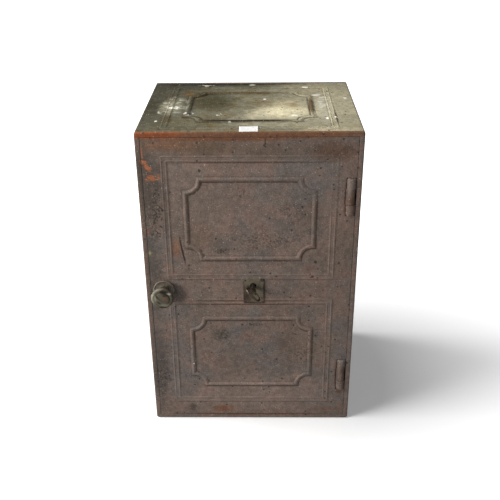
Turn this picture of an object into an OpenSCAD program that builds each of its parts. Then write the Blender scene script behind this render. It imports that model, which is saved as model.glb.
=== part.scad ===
// Cast iron strong box with one hinged door, a turning knob, a pipe key and two round bolts.
// Origin at the centre of the base. X runs to the right, Y to the back and Z up.
// The door stands at the front, at the most negative Y, and is drawn shut, with its bolts drawn in.

/* [Case] */
// Width of the case across its side walls
case_w = 406; // [390:1:430]
// Depth of the case from the door to the back of its back plate
case_d = 330; // [310:1:360]
// Height of the case
case_h = 636; // [612:1:670]
// Thickness of the side and top walls
wall_t = 9.5; // [9:0.5:11]
// Thickness of the floor
floor_t = 9; // [8:0.5:11]
// Rounding of the corners seen from the front
corner_r = 5; // [3:0.5:6]
// Rounding of the corners seen from above and from the side
edge_r = 3; // [2:0.5:4]
// Thickness of the separate back plate
back_t = 12; // [11:0.5:14]
// How far the bars of the door stop stand in from the walls
stop_w = 12.5; // [11.5:0.5:14]
// Thickness of the bars of the door stop
stop_t = 10; // [9.5:0.5:11]
// Width of the flange that the back plate is screwed to
rear_flange_w = 20; // [18:1:24]

/* [Door] */
// Thickness of the door plate
door_t = 10; // [9.5:0.25:10.5]
// Gap between the door and the case, all round
door_gap = 1.2; // [1:0.1:1.5]
// Gap between the shut door and its stop
stop_gap = 0.5; // [0.4:0.1:0.7]

/* [Mouldings] */
// Width over the frame mouldings of a panel, measured to their centre lines
frame_w = 307; // [300:1:318]
// Height over the frame mouldings of each panel of the door, measured to their centre lines
panel_h = 240; // [236:1:244]
// Distance between the middles of the lower and the upper panel
panel_pitch = 295.5; // [292:0.5:300]
// Height of the middle of the rail between the two panels, as a share of the height of the case
rail_share = 0.501; // [0.49:0.001:0.51]
// Distance between the two lines of a frame moulding
reed_pitch = 8; // [6:0.5:9]
// Radius of each line of a frame moulding
reed_r = 2; // [1.7:0.1:2.3]
// How far the middle of each line lies under the surface
reed_sink = 0.9; // [0.6:0.1:1.1]
// Height of the flat band between the two lines
reed_band_h = 0.5; // [0.3:0.1:0.8]
// How far the scalloped bead stands in from the sides of its frame
scallop_inset_w = 35.5; // [32:0.5:40]
// How far the scalloped bead stands in from the top and the bottom of its frame
scallop_inset_h = 39.5; // [36:0.5:42]
// Radius of the scalloped corners
scallop_notch = 26; // [22:1:30]
// Radius of the scalloped bead
scallop_r = 3.5; // [3:0.1:4]
// How far the middle of the scalloped bead lies under the surface
scallop_sink = 0.9; // [0.6:0.1:1.2]
// Radius of the knob at each point of the scalloped bead
cusp_r = 4.1; // [4.05:0.05:4.5]

/* [Hinges] */
// Radius of the outer knuckles of the hinges
barrel_r = 9; // [8.5:0.25:9.25]
// Radius of the middle knuckle, which is cast in one with the door
mid_knuckle_r = 7.4; // [7:0.1:8]
// Rounding of the outer ends of a hinge
knuckle_round = 3; // [2:0.5:3.5]
// How far the hinge axis lies behind the front face
hinge_back = 3; // [2.5:0.25:3.5]
// How far the middle of the upper hinge lies under the top of the case
upper_hinge_drop = 124; // [116:1:136]
// Height of the middle of the lower hinge over the floor
lower_hinge_rise = 115; // [108:1:130]
// Length of each hinge
hinge_len = 74; // [70:1:78]
// Length of the door's own middle knuckle
mid_knuckle_len = 31; // [28:1:34]
// Gap between two knuckles
knuckle_gap = 0.3; // [0.25:0.05:0.4]
// Radius of the hinge pins
pin_r = 3.5; // [3:0.25:4]
// Clearance round a hinge pin
pin_fit = 0.05; // [0.04:0.01:0.08]
// Thickness of the hinge leaf inside the case
leaf_t = 5; // [4:0.5:6]
// Length of the hinge leaf along the side wall
leaf_len = 38; // [34:1:44]

/* [Knob and latch] */
// Distance of the knob from the opening edge of the door
knob_inset = 24.5; // [23:0.1:24.5]
// How far the knob lies under the middle of the rail
knob_drop = 0.7; // [0:0.1:3]
// Radius of the knob's rose
rose_r = 21; // [20:0.5:21.5]
// Radius of the knob
knob_r = 21.5; // [20:0.5:22]
// How far the face of the knob stands out from the door
knob_reach = 40; // [38:0.5:44]
// Radius of the knob's spindle
spindle_r = 5; // [4.5:0.25:5.5]
// Clearance round the spindle
spindle_fit = 0.1; // [0.06:0.01:0.1]
// Length of the latch from its spindle
latch_len = 21; // [20:0.5:22]

/* [Lock and key] */
// Distance of the keyhole from the middle of the door
key_x = 5; // [3:0.5:7]
// Height of the keyhole over the middle of the rail
key_rise = 8.3; // [7:0.1:9]
// Width of the escutcheon
escutcheon_w = 41; // [39:0.5:43]
// Height of the escutcheon
escutcheon_h = 55; // [53:0.5:57]
// Thickness of the escutcheon
escutcheon_t = 1.8; // [1.4:0.1:2.2]
// Radius of the round part of the keyhole
keyhole_r = 6; // [5.5:0.25:6.5]
// Radius of the key's pipe
key_r = 3.75; // [3.5:0.05:3.9]
// Distance from the key's axis to the end of its bit
bit_r = 14; // [13.5:0.1:14.2]
// Thickness of the key's bit
bit_t = 3.5; // [3:0.1:3.8]
// How far the middle of the key's bow stands out from the door
bow_reach = 34; // [32:0.5:40]
// Width across the key's bow
bow_w = 37; // [35:0.5:40]
// Length of the key's bow along the key
bow_h = 24; // [22:0.5:26]
// Radius of the wire of the bow
bow_wire_r = 2; // [1.75:0.05:2.25]
// Turn of the key in the lock, from straight down towards the hinge side
key_turn = 45; // [30:5:60]
// Width of the lock case
lock_w = 112; // [108:1:116]
// Height of the lock case
lock_h = 90; // [86:1:94]
// Depth of the lock case without its cover
lock_d = 16; // [15.5:0.25:16.5]
// Thickness of the lock case and its cover
lock_wall = 3; // [2.75:0.25:3.25]

/* [Bolts] */
// Radius of the two round bolts
bolt_r = 6; // [5.5:0.25:6.25]
// Clearance round a bolt in its guide
bolt_fit = 0.1; // [0.06:0.01:0.1]
// How far the upper bolt lies under the top of the case
upper_bolt_drop = 166; // [156:1:180]
// Height of the lower bolt over the floor
lower_bolt_rise = 165; // [155:1:180]
// Travel of the bolts over one full turn of the key
bolt_travel = 14; // [13:0.5:14.5]
// Width of the carriage that joins the bolts
carriage_w = 16; // [14:1:18]
// Thickness of the lock bolt and of the carriage
bar_t = 4; // [3.5:0.25:4.25]

/* [Hidden] */
$fn = 64;

iron = "#6b5d57";
iron_inside = "#4a4340";
brass = "#8d8368";
steel = "#77787a";

// Overrun of a cut beyond the solid that it cuts
cut = 1;
// Clearance round screws, pins and plates that sit in the same piece
seat_fit = 0.05;
// Clearance of flat pieces that slide
slide_fit = 0.2;

// Case
front_y = -case_d / 2;
back_y = case_d / 2;
shell_back_y = back_y - back_t;
shell_d = case_d - back_t;
open_x = case_w / 2 - wall_t;
open_z0 = floor_t;
open_z1 = case_h - wall_t;
rear_flange_t = 12;

// Door
door_x = open_x - door_gap;
door_z0 = open_z0 + door_gap;
door_z1 = open_z1 - door_gap;
door_back_y = front_y + door_t;
rail_z = case_h * rail_share;
knob_x = door_x - knob_inset;
knob_z = rail_z - knob_drop;
key_z = rail_z + key_rise;
stop_y = door_back_y + stop_gap;
stop_back_y = stop_y + stop_t;

// Hinges: the stop on their side stands clear of the swing of the door's back corner
barrel_gap = 0.5;
swing_gap = 0.8;
hinge_x = open_x - barrel_r - barrel_gap;
hinge_y = front_y + hinge_back;
upper_hinge_z = case_h - upper_hinge_drop;
lower_hinge_z = lower_hinge_rise;
swing_r = sqrt(pow(door_x - hinge_x, 2) + pow(door_t - hinge_back, 2));
hinge_stop_y = hinge_y + swing_r + swing_gap;
notch_side_gap = 1;
notch_x = hinge_x - barrel_r - notch_side_gap;
notch_gap = 0.6;
leaf_y0 = hinge_stop_y + swing_gap / 2;
leaf_y1 = leaf_y0 + leaf_len;
web_x = hinge_x - barrel_r / 2;
pin_floor = 4;
pin_top_drop = 0.5;
wall_screw_r = 2.5;
wall_screw_head_r = 4.6;
wall_screw_head_h = wall_screw_head_r - wall_screw_r;
wall_screw_bite = 6;
wall_screw_slot_w = 1.2;
wall_screw_slot_h = 1;
leaf_screw_inset = 12;
leaf_screw_y = leaf_y1 - leaf_screw_inset;
leaf_screw_pitch = 24;

// Door stop: bars along the walls, kept clear of the door's back corner as it swings in at the hinges
stop_edge_x = open_x - stop_w;
stop_relief_x = hinge_x - swing_r - swing_gap;
stop_screw_y = (stop_y + stop_back_y) / 2;
hinge_stop_screw_y = hinge_stop_y + stop_t / 2;
stop_end_gap = 60;
stop_screw_rows = 4;
stop_screw_pitch_x = 120;
right_stop_parts = [
  [open_z0, lower_hinge_z - hinge_len / 2 - notch_gap],
  [lower_hinge_z + hinge_len / 2 + notch_gap, upper_hinge_z - hinge_len / 2 - notch_gap],
  [upper_hinge_z + hinge_len / 2 + notch_gap, open_z1]
];

// Mouldings
frame_front_margin = 22;
frame_back_margin = 35;
frame_depth = shell_d - frame_front_margin - frame_back_margin;
frame_mid_y = front_y + frame_front_margin + frame_depth / 2;
pad_margin = 1.5;
escutcheon_shift = 1.5;
escutcheon_drop = 12;
escutcheon_x = key_x + escutcheon_shift;
escutcheon_z = key_z - escutcheon_drop;

// Back plate screws
back_screw_r = 3.5;
back_screw_head_r = 6.5;
back_screw_len = 22;
back_screw_slot_w = 1.6;
back_screw_slot_h = 1.4;
back_screw_x = case_w / 2 - wall_t - rear_flange_w / 2;
back_screw_z0 = floor_t + rear_flange_w / 2;
back_screw_z1 = case_h - wall_t - rear_flange_w / 2;
back_screw_rows = 4;
back_screw_places = concat(
  [for (side = [-1, 1], row = [0:back_screw_rows - 1])
    [side * back_screw_x, back_screw_z0 + row * (back_screw_z1 - back_screw_z0) / (back_screw_rows - 1)]],
  [[0, back_screw_z0], [0, back_screw_z1]]
);

// Planes of the work behind the door
lock_y1 = door_back_y + lock_d;
cover_y1 = lock_y1 + lock_wall;
lock_left = 53;
lock_below = 48;
lock_x0 = key_x - lock_left;
lock_x1 = lock_x0 + lock_w;
lock_z0 = key_z - lock_below;
lock_z1 = lock_z0 + lock_h;
floor_gap = 0.6;
cover_gap = 1.2;
lock_bolt_y0 = door_back_y + lock_wall + floor_gap;
lock_bolt_y1 = lock_bolt_y0 + bar_t;
carriage_y1 = lock_bolt_y1 + bar_t;
bolt_y = carriage_y1 + bolt_r;
bit_y0 = lock_bolt_y0;
bit_y1 = lock_y1 - cover_gap;

// Keyhole
bit_gap = 0.6;
slot_w = bit_t + bit_gap;
slot_reach = bit_r + bit_gap;
keyway_fit = 0.1;
drill_pin_r = 1.5;
drill_pin_fit = 0.1;
drill_pin_sink = 2;
drill_pin_y = front_y + drill_pin_sink;

// Wards: one ring on the floor of the lock and one under its cover
ward_r = 8.6;
ward_t = 1.2;
ward_gap = 0.4;
floor_ward_h = bar_t - slide_fit / 2;
cover_ward_h = 2.6;

// Lock bolt
bolt_home = bolt_travel * key_turn / 360;
bit_overlap = 4;
lock_bolt_z0 = key_z + bit_r - bit_overlap;
lock_bolt_h = 16;
lock_bolt_z1 = lock_bolt_z0 + lock_bolt_h;
lock_bolt_tail = 45;
lock_bolt_x1 = key_x + lock_bolt_tail;
talon_w = 21;
talon_h = sqrt(pow(bit_r, 2) + pow(bit_t / 2, 2)) - (bit_r - bit_overlap) + bit_gap;
talon_x = key_x + bolt_travel / 2 - bolt_home;
guide_post_r = 2.5;
guide_post_side = 25;
guide_post_rise = 1.5;
guide_post_x = key_x + guide_post_side;
guide_post_z = lock_bolt_z0 + lock_bolt_h / 2 + guide_post_rise;
spring_t = 0.8;
spring_tip = 2.4;
spring_side = 10;
spring_x = key_x + spring_side;
spring_foot = 22;
spring_lean = 24;

// Carriage and round bolts, drawn in while the door is shut
upper_bolt_z = case_h - upper_bolt_drop;
lower_bolt_z = lower_bolt_rise;
bolt_end_gap = 4;
bolt_end_x = stop_edge_x - bolt_end_gap;
bolt_chamfer = 1;
guide_len = 14;
guide_x0 = bolt_end_x - bolt_chamfer;
guide_x1 = guide_x0 - guide_len;
tang_gap = 1;
tang_x = guide_x1 - bolt_travel - tang_gap;
tang_len = 25;
tang_h = 10;
tang_t = 6;
carriage_x = tang_x - tang_len / 2 + tang_gap;
carriage_over = 14;
lock_bolt_rivet_places = [for (side = [-1, 1])
  [-carriage_x + side * carriage_w / 4, (lock_bolt_z0 + lock_bolt_z1) / 2 + side * lock_bolt_h / 4]];
guide_half_h = 11;
guide_foot_h = 27;
guide_foot_t = 4;
guide_wall = 3;
guide_top_y = bolt_y + bolt_r + guide_wall;
guide_x = (guide_x0 + guide_x1) / 2;
guide_screw_z = 19;
rivet_r = 2;
rivet_head_r = 3.6;
rivet_head_h = 1.2;
small_screw_r = 2.5;
small_screw_head_r = 4.5;
small_screw_head_h = 2.6;
small_screw_slot_w = 1.2;
small_screw_slot_h = 1.2;
small_screw_bite = 6;

// Lock screws at the corners of the lock case
lock_boss_r = 6.5;
lock_screw_places = [for (x = [lock_x0 + lock_boss_r, lock_x1 - lock_boss_r],
                          z = [lock_z0 + lock_boss_r, lock_z1 - lock_boss_r]) [x, z]];

// Knob and latch
bush_over = 1;
bush_y1 = stop_back_y + bush_over;
bush_gap = 0.1;
bush_r = 8;
bush_flange_r = 11;
bush_flange_t = 3;
hub_r = 9;
tongue_w = 9;
tongue_t = 5;
tongue_y1 = bush_y1 + tongue_t;
washer_t = 1.5;
nut_t = 5;
washer_r = 8;
nut_r = 7.5;
nut_sides = 6;
thread_over = 1.5;
square_share = 0.7;
spindle_thread_r = spindle_r * square_share;
spindle_square = 2 * spindle_thread_r;
spindle_bury = 29.5;
rose_t = 3;
rose_boss_r = 11;
rose_boss_h = 2;
rose_rim_r = 2;
knob_gap = 0.4;
knob_neck_r = 8;
knob_collar_r = 10;
knob_collar_h = 3;
knob_rim_r = 4;
knob_rim_drop = 7;
knob_flare_h = 12;
knob_back_h = 3;
knob_disc_h = 6.5;
knob_disc_step = 0.5;
knob_face_r = 13;
knob_dome_r = 80;
knob_dome_fn = 128;

// Key
collar_y = 3;
collar_t = 2.5;
collar_out = 1.8;
ring_y = 7;
ring_t = 1.5;
ring_out = 1.1;

// Small parts of the escutcheon
escutcheon_pin_r = 1.2;
escutcheon_pin_head_r = 1.9;
escutcheon_pin_head_h = 0.9;
escutcheon_pin_inset = 3.6;
escutcheon_pin_bite = 5;
escutcheon_corner_r = 2;
escutcheon_pin_places = [for (sx = [-1, 1], sz = [-1, 1])
  [escutcheon_x + sx * (escutcheon_w / 2 - escutcheon_pin_inset),
   escutcheon_z + sz * (escutcheon_h / 2 - escutcheon_pin_inset)]];

// Solid bar along X from x0 to x1
module bar_x(x0, x1, r) {
  translate([x0, 0, 0]) rotate([0, 90, 0]) cylinder(h = x1 - x0, r = r);
}

// Solid bar along Y from y0 to y1, about the axis at x and z
module bar_y(x, z, y0, y1, r) {
  translate([x, y0, z]) rotate([-90, 0, 0]) cylinder(h = y1 - y0, r = r);
}

// Cone along Y from radius r0 at y0 to radius r1 at y1
module cone_y(x, z, y0, y1, r0, r1) {
  translate([x, y0, z]) rotate([-90, 0, 0]) cylinder(h = y1 - y0, r1 = r0, r2 = r1);
}

// Box given by its two opposite corners
module box(p0, p1) {
  translate(p0) cube(p1 - p0);
}

// Rectangle with round corners, centred
module round_rect(w, h, r) {
  square([w - 2 * r, h], center = true);
  square([w, h - 2 * r], center = true);
  for (sx = [-1, 1], sy = [-1, 1])
    translate([sx * (w / 2 - r), sy * (h / 2 - r)]) circle(r = r);
}

// Half-round line along X, mitred at both ends, with its middle sunk under the surface
module mitred_line(len, r, sink) {
  intersection() {
    translate([0, 0, -sink]) bar_x(-len / 2 - r, len / 2 + r, r);
    translate([0, 0, -r - sink]) linear_extrude(2 * r + sink)
      polygon([[-len / 2 - r, -r], [-len / 2 + r, r], [len / 2 - r, r], [len / 2 + r, -r]]);
  }
}

// Ring of four half-round lines on a rectangle w by h, in the plane Z = 0
module line_ring(w, h, r, sink) {
  for (turn = [0, 180]) {
    rotate(turn) translate([0, -h / 2, 0]) mitred_line(w, r, sink);
    rotate(turn) translate([w / 2, 0, 0]) rotate(90) mitred_line(h, r, sink);
  }
}

// Frame moulding: a low flat band with a half-round line on each edge
module frame_moulding(w, h) {
  translate([0, 0, -reed_r]) linear_extrude(reed_band_h + reed_r) difference() {
    square([w + reed_pitch, h + reed_pitch], center = true);
    square([w - reed_pitch, h - reed_pitch], center = true);
  }
  line_ring(w + reed_pitch, h + reed_pitch, reed_r, reed_sink);
  line_ring(w - reed_pitch, h - reed_pitch, reed_r, reed_sink);
}

// Scalloped bead: a half-round line whose corners are quarter circles curved inwards
module scallop_bead(w, h) {
  for (side = [-1, 1]) {
    translate([0, side * h / 2, -scallop_sink])
      bar_x(-w / 2 + scallop_notch, w / 2 - scallop_notch, scallop_r);
    translate([side * w / 2, 0, -scallop_sink]) rotate(90)
      bar_x(-h / 2 + scallop_notch, h / 2 - scallop_notch, scallop_r);
  }
  for (sx = [0, 1], sy = [0, 1]) mirror([sx, 0, 0]) mirror([0, sy, 0])
    translate([w / 2, h / 2, -scallop_sink]) {
      rotate(180) rotate_extrude(angle = 90) translate([scallop_notch, 0]) circle(r = scallop_r);
      translate([-scallop_notch, 0, 0]) sphere(r = cusp_r);
      translate([0, -scallop_notch, 0]) sphere(r = cusp_r);
    }
}

// One moulded panel, in the plane Z = 0 and facing +Z
module moulded_panel(w, h) {
  frame_moulding(w, h);
  scallop_bead(w - 2 * scallop_inset_w, h - 2 * scallop_inset_h);
}

// The lower and the upper panel, one over the other, facing +Z, with heights along Y
module panel_pair(w) {
  for (side = [-1, 1]) translate([0, rail_z + side * panel_pitch / 2, 0]) moulded_panel(w, panel_h);
}

// Block with the outline and the rounded edges of the case, from y0 to y1
module case_block(y0, y1) {
  intersection() {
    translate([0, y1, case_h / 2]) rotate([90, 0, 0]) linear_extrude(y1 - y0)
      round_rect(case_w, case_h, corner_r);
    linear_extrude(case_h) round_rect(case_w, case_d, edge_r);
    rotate([90, 0, 90]) translate([0, 0, -case_w / 2]) linear_extrude(case_w)
      translate([0, case_h / 2]) round_rect(case_d, case_h, edge_r);
  }
}

// Countersunk screw along Y, its head flush with the plane y, driven towards -Y
module back_screw(x, z) {
  head_h = back_screw_head_r - back_screw_r;
  difference() {
    union() {
      bar_y(x, z, back_y - back_screw_len, back_y - head_h, back_screw_r);
      cone_y(x, z, back_y - head_h, back_y, back_screw_r, back_screw_head_r);
    }
    box([x - back_screw_head_r - cut, back_y - back_screw_slot_h, z - back_screw_slot_w / 2],
        [x + back_screw_head_r + cut, back_y + cut, z + back_screw_slot_w / 2]);
  }
}

module case_shell() color(iron) {
  difference() {
    union() {
      case_block(front_y, shell_back_y);
      translate([0, frame_mid_y, case_h]) moulded_panel(frame_w, frame_depth);
      translate([case_w / 2, frame_mid_y, 0]) rotate([90, 0, 90]) panel_pair(frame_depth);
      translate([-case_w / 2, frame_mid_y, 0]) rotate([90, 0, -90]) panel_pair(frame_depth);
    }
    // Space inside, open to the front
    box([-open_x, front_y - cut, open_z0], [open_x, shell_back_y - rear_flange_t, open_z1]);
    // Opening that the back plate closes
    box([-open_x + rear_flange_w, shell_back_y - rear_flange_t - cut, open_z0 + rear_flange_w],
        [open_x - rear_flange_w, shell_back_y + cut, open_z1 - rear_flange_w]);
    for (place = back_screw_places)
      bar_y(place[0], place[1], back_y - back_screw_len - seat_fit, back_y, back_screw_r + seat_fit);
    at_leaf_screws() wall_screw_hole(leaf_t);
    at_stop_screws() wall_screw_hole(stop_w);
  }
}

// Countersunk screw along +X through a piece of thickness t into a wall, its head flush at X = 0
module wall_screw(t) {
  difference() {
    union() {
      bar_x(wall_screw_slot_h, t + wall_screw_bite, wall_screw_r);
      rotate([0, 90, 0]) cylinder(h = wall_screw_head_h, r1 = wall_screw_head_r, r2 = wall_screw_r);
    }
    box([-cut, -wall_screw_slot_w / 2, -wall_screw_head_r - cut],
        [wall_screw_slot_h, wall_screw_slot_w / 2, wall_screw_head_r + cut]);
  }
}

// Hole for that screw
module wall_screw_hole(t) {
  mouth_r = wall_screw_head_r + cut + seat_fit;
  bar_x(-cut, t + wall_screw_bite + seat_fit, wall_screw_r + seat_fit);
  translate([-cut, 0, 0]) rotate([0, 90, 0])
    cylinder(h = wall_screw_head_h + cut + seat_fit, r1 = mouth_r, r2 = wall_screw_r);
}

// Places of the screws of the hinge leaves, three to each
module at_leaf_screws() {
  for (z = [lower_hinge_z, upper_hinge_z], row = [-1:1])
    translate([open_x - leaf_t, leaf_screw_y, z + row * leaf_screw_pitch]) children();
}

// Places of the screws of the door stop's bars
module at_stop_screws() {
  first_z = open_z0 + stop_end_gap;
  pitch_z = (open_z1 - stop_end_gap - first_z) / (stop_screw_rows - 1);
  for (row = [0:stop_screw_rows - 1])
    translate([-stop_edge_x, stop_screw_y, first_z + row * pitch_z]) mirror([1, 0, 0]) children();
  for (part = right_stop_parts)
    translate([stop_edge_x, hinge_stop_screw_y, (part[0] + part[1]) / 2]) children();
  for (row = [-1:1]) {
    translate([row * stop_screw_pitch_x, stop_screw_y, open_z0 + stop_w]) rotate([0, 90, 0]) children();
    translate([row * stop_screw_pitch_x, stop_screw_y, open_z1 - stop_w]) rotate([0, -90, 0]) children();
  }
}

module door_stop_left() color(iron) {
  difference() {
    box([-open_x, stop_y, open_z0], [-stop_edge_x, stop_back_y, open_z1]);
    at_stop_screws() wall_screw_hole(stop_w);
  }
}

// The right stop is cut away at the hinges and stands further back
module door_stop_right() color(iron) {
  difference() {
    for (part = right_stop_parts)
      box([stop_edge_x, hinge_stop_y, part[0]], [open_x, hinge_stop_y + stop_t, part[1]]);
    at_stop_screws() wall_screw_hole(stop_w);
  }
}

module door_stop_top() color(iron) {
  difference() {
    box([-stop_edge_x, stop_y, open_z1 - stop_w], [stop_relief_x, stop_back_y, open_z1]);
    at_stop_screws() wall_screw_hole(stop_w);
  }
}

module door_stop_bottom() color(iron) {
  difference() {
    box([-stop_edge_x, stop_y, open_z0], [stop_relief_x, stop_back_y, open_z0 + stop_w]);
    at_stop_screws() wall_screw_hole(stop_w);
  }
}

module door_stop_screws() color(steel) at_stop_screws() wall_screw(stop_w);

module back_plate() color(iron) {
  head_h = back_screw_head_r - back_screw_r;
  difference() {
    case_block(shell_back_y, back_y);
    for (place = back_screw_places) {
      bar_y(place[0], place[1], shell_back_y - cut, back_y + cut, back_screw_r + seat_fit);
      cone_y(place[0], place[1], back_y - head_h - seat_fit, back_y + cut,
             back_screw_r, back_screw_head_r + seat_fit + cut);
    }
  }
}

module back_plate_screws() color(steel) {
  for (place = back_screw_places) back_screw(place[0], place[1]);
}

// Barrel of length h, with a rounded edge at its end at Z = 0
module outer_knuckle(h) {
  rotate_extrude() {
    square([barrel_r - knuckle_round, h]);
    translate([0, knuckle_round]) square([barrel_r, h - knuckle_round]);
    translate([barrel_r - knuckle_round, knuckle_round]) circle(r = knuckle_round);
  }
}

// Hinge half on the case: two knuckles and a leaf along the inside of the side wall
module hinge_bracket(z) {
  half = hinge_len / 2;
  half_mid = mid_knuckle_len / 2 + knuckle_gap;
  difference() {
    union() {
      for (end = [0, 1]) translate([0, 0, z]) mirror([0, 0, end]) {
        translate([hinge_x, hinge_y, -half]) outer_knuckle(half - half_mid);
        box([web_x, hinge_y, -half + knuckle_round], [open_x, leaf_y0 + cut, -half_mid]);
      }
      box([open_x - leaf_t, leaf_y0, z - half], [open_x, leaf_y1, z + half]);
    }
    translate([hinge_x, hinge_y, z - half + pin_floor])
      cylinder(h = hinge_len, r = pin_r + pin_fit);
    at_leaf_screws() wall_screw_hole(leaf_t);
  }
}

module hinge_bracket_upper() color(iron) hinge_bracket(upper_hinge_z);
module hinge_bracket_lower() color(iron) hinge_bracket(lower_hinge_z);

module hinge_leaf_screws() color(steel) at_leaf_screws() wall_screw(leaf_t);

// Hinge pin, standing on the blind end of the bottom knuckle
module hinge_pin(z) {
  translate([hinge_x, hinge_y, z - hinge_len / 2 + pin_floor])
    cylinder(h = hinge_len - pin_floor - pin_top_drop, r = pin_r);
}

module hinge_pin_upper() color(steel) hinge_pin(upper_hinge_z);
module hinge_pin_lower() color(steel) hinge_pin(lower_hinge_z);

// Keyhole through a plate, from y0 to y1: a round hole with a slot under it
module keyhole(r, y0, y1) {
  bar_y(key_x, key_z, y0, y1, r);
  box([key_x - slot_w / 2, y0, key_z - slot_reach], [key_x + slot_w / 2, y1, key_z]);
}

module door_plate() color(iron) {
  difference() {
    union() {
      box([-door_x, front_y, door_z0], [door_x, door_back_y, door_z1]);
      difference() {
        translate([0, front_y, 0]) rotate([90, 0, 0]) panel_pair(frame_w);
        // Flush pad that the escutcheon lies on
        box([escutcheon_x - escutcheon_w / 2 - pad_margin, front_y - scallop_r - cut,
             escutcheon_z - escutcheon_h / 2 - pad_margin],
            [escutcheon_x + escutcheon_w / 2 + pad_margin, front_y,
             escutcheon_z + escutcheon_h / 2 + pad_margin]);
      }
    }
    // Notches round the hinges
    for (z = [lower_hinge_z, upper_hinge_z])
      box([notch_x, front_y - cut, z - hinge_len / 2 - notch_gap],
          [door_x + cut, door_back_y + cut, z + hinge_len / 2 + notch_gap]);
    keyhole(keyhole_r, front_y - cut, door_back_y + cut);
    bar_y(-knob_x, knob_z, front_y - cut, door_back_y + cut, spindle_r + spindle_fit);
    for (place = lock_screw_places)
      bar_y(place[0], place[1], door_back_y - small_screw_bite - seat_fit, door_back_y + cut,
            small_screw_r + seat_fit);
    for (z = [lower_bolt_z, upper_bolt_z], side = [-1, 1])
      bar_y(-guide_x, z + side * guide_screw_z,
            door_back_y - small_screw_bite - seat_fit, door_back_y + cut, small_screw_r + seat_fit);
    for (place = escutcheon_pin_places)
      bar_y(place[0], place[1], front_y - cut, front_y + escutcheon_pin_bite + seat_fit,
            escutcheon_pin_r + seat_fit);
  }
  for (z = [lower_hinge_z, upper_hinge_z]) door_knuckle(z);
}

// Middle knuckle of a hinge, cast in one with the door
module door_knuckle(z) {
  translate([0, 0, z - mid_knuckle_len / 2]) difference() {
    union() {
      translate([hinge_x, hinge_y, 0]) cylinder(h = mid_knuckle_len, r = mid_knuckle_r);
      box([notch_x - cut, front_y, 0], [hinge_x, door_back_y, mid_knuckle_len]);
    }
    translate([hinge_x, hinge_y, -cut]) cylinder(h = mid_knuckle_len + 2 * cut, r = pin_r + pin_fit);
  }
}

module escutcheon() color(brass) {
  difference() {
    translate([escutcheon_x, front_y, escutcheon_z]) rotate([90, 0, 0])
      linear_extrude(escutcheon_t) round_rect(escutcheon_w, escutcheon_h, escutcheon_corner_r);
    keyhole(keyhole_r, front_y - escutcheon_t - cut, front_y + cut);
    for (place = escutcheon_pin_places)
      bar_y(place[0], place[1], front_y - escutcheon_t - cut, front_y + cut, escutcheon_pin_r + seat_fit);
  }
}

module escutcheon_pins() color(steel) {
  for (place = escutcheon_pin_places) {
    bar_y(place[0], place[1], front_y - escutcheon_t, front_y + escutcheon_pin_bite, escutcheon_pin_r);
    cone_y(place[0], place[1], front_y - escutcheon_t - escutcheon_pin_head_h, front_y - escutcheon_t,
           escutcheon_pin_r, escutcheon_pin_head_r);
  }
}

// Rose under the knob: a disc with a round rim and a low boss
module knob_rose() color(brass) {
  translate([-knob_x, front_y, knob_z]) rotate([90, 0, 0]) difference() {
    union() {
      cylinder(h = rose_t, r = rose_r - rose_rim_r);
      translate([0, 0, rose_rim_r]) rotate_extrude()
        translate([rose_r - rose_rim_r, 0]) circle(r = rose_rim_r);
      cylinder(h = rose_t + rose_boss_h, r = rose_boss_r);
    }
    translate([0, 0, -cut]) cylinder(h = rose_t + rose_boss_h + 2 * cut, r = spindle_r + spindle_fit);
  }
}

// Knob: a neck that flares to a round rim, and a low domed face
module door_knob() color(brass) {
  neck_h = rose_t + rose_boss_h + knob_gap;
  rim_h = knob_reach - knob_rim_drop;
  disc_r = knob_r - knob_rim_r;
  translate([-knob_x, front_y, knob_z]) rotate([90, 0, 0]) difference() {
    union() {
      translate([0, 0, neck_h]) cylinder(h = rim_h - neck_h, r = knob_neck_r);
      translate([0, 0, neck_h]) cylinder(h = knob_collar_h, r = knob_collar_r);
      translate([0, 0, rim_h - knob_back_h - knob_flare_h])
        cylinder(h = knob_flare_h, r1 = knob_neck_r, r2 = disc_r);
      translate([0, 0, rim_h - knob_back_h]) cylinder(h = knob_disc_h, r = disc_r + knob_disc_step);
      translate([0, 0, rim_h]) rotate_extrude() translate([disc_r, 0]) circle(r = knob_rim_r);
      intersection() {
        translate([0, 0, knob_reach - knob_dome_r]) sphere(r = knob_dome_r, $fn = knob_dome_fn);
        translate([0, 0, rim_h]) cylinder(h = 2 * knob_rim_drop, r = knob_face_r);
      }
    }
    translate([0, 0, -cut]) cylinder(h = spindle_bury + cut, r = spindle_r + seat_fit);
  }
}

// Spindle: round through the door, square in the latch, and threaded under the nut
module knob_spindle() color(steel) {
  half = spindle_square / 2;
  bar_y(-knob_x, knob_z, front_y - spindle_bury, bush_y1, spindle_r);
  box([-knob_x - half, bush_y1 - cut, knob_z - half],
      [-knob_x + half, tongue_y1 - slide_fit, knob_z + half]);
  bar_y(-knob_x, knob_z, bush_y1, tongue_y1 + washer_t + nut_t + thread_over, spindle_thread_r);
}

module spindle_bush() color(brass) {
  difference() {
    union() {
      bar_y(-knob_x, knob_z, door_back_y, bush_y1 - bush_gap, bush_r);
      bar_y(-knob_x, knob_z, door_back_y, door_back_y + bush_flange_t, bush_flange_r);
    }
    bar_y(-knob_x, knob_z, door_back_y - cut, bush_y1 + cut, spindle_r + spindle_fit);
  }
}

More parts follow.
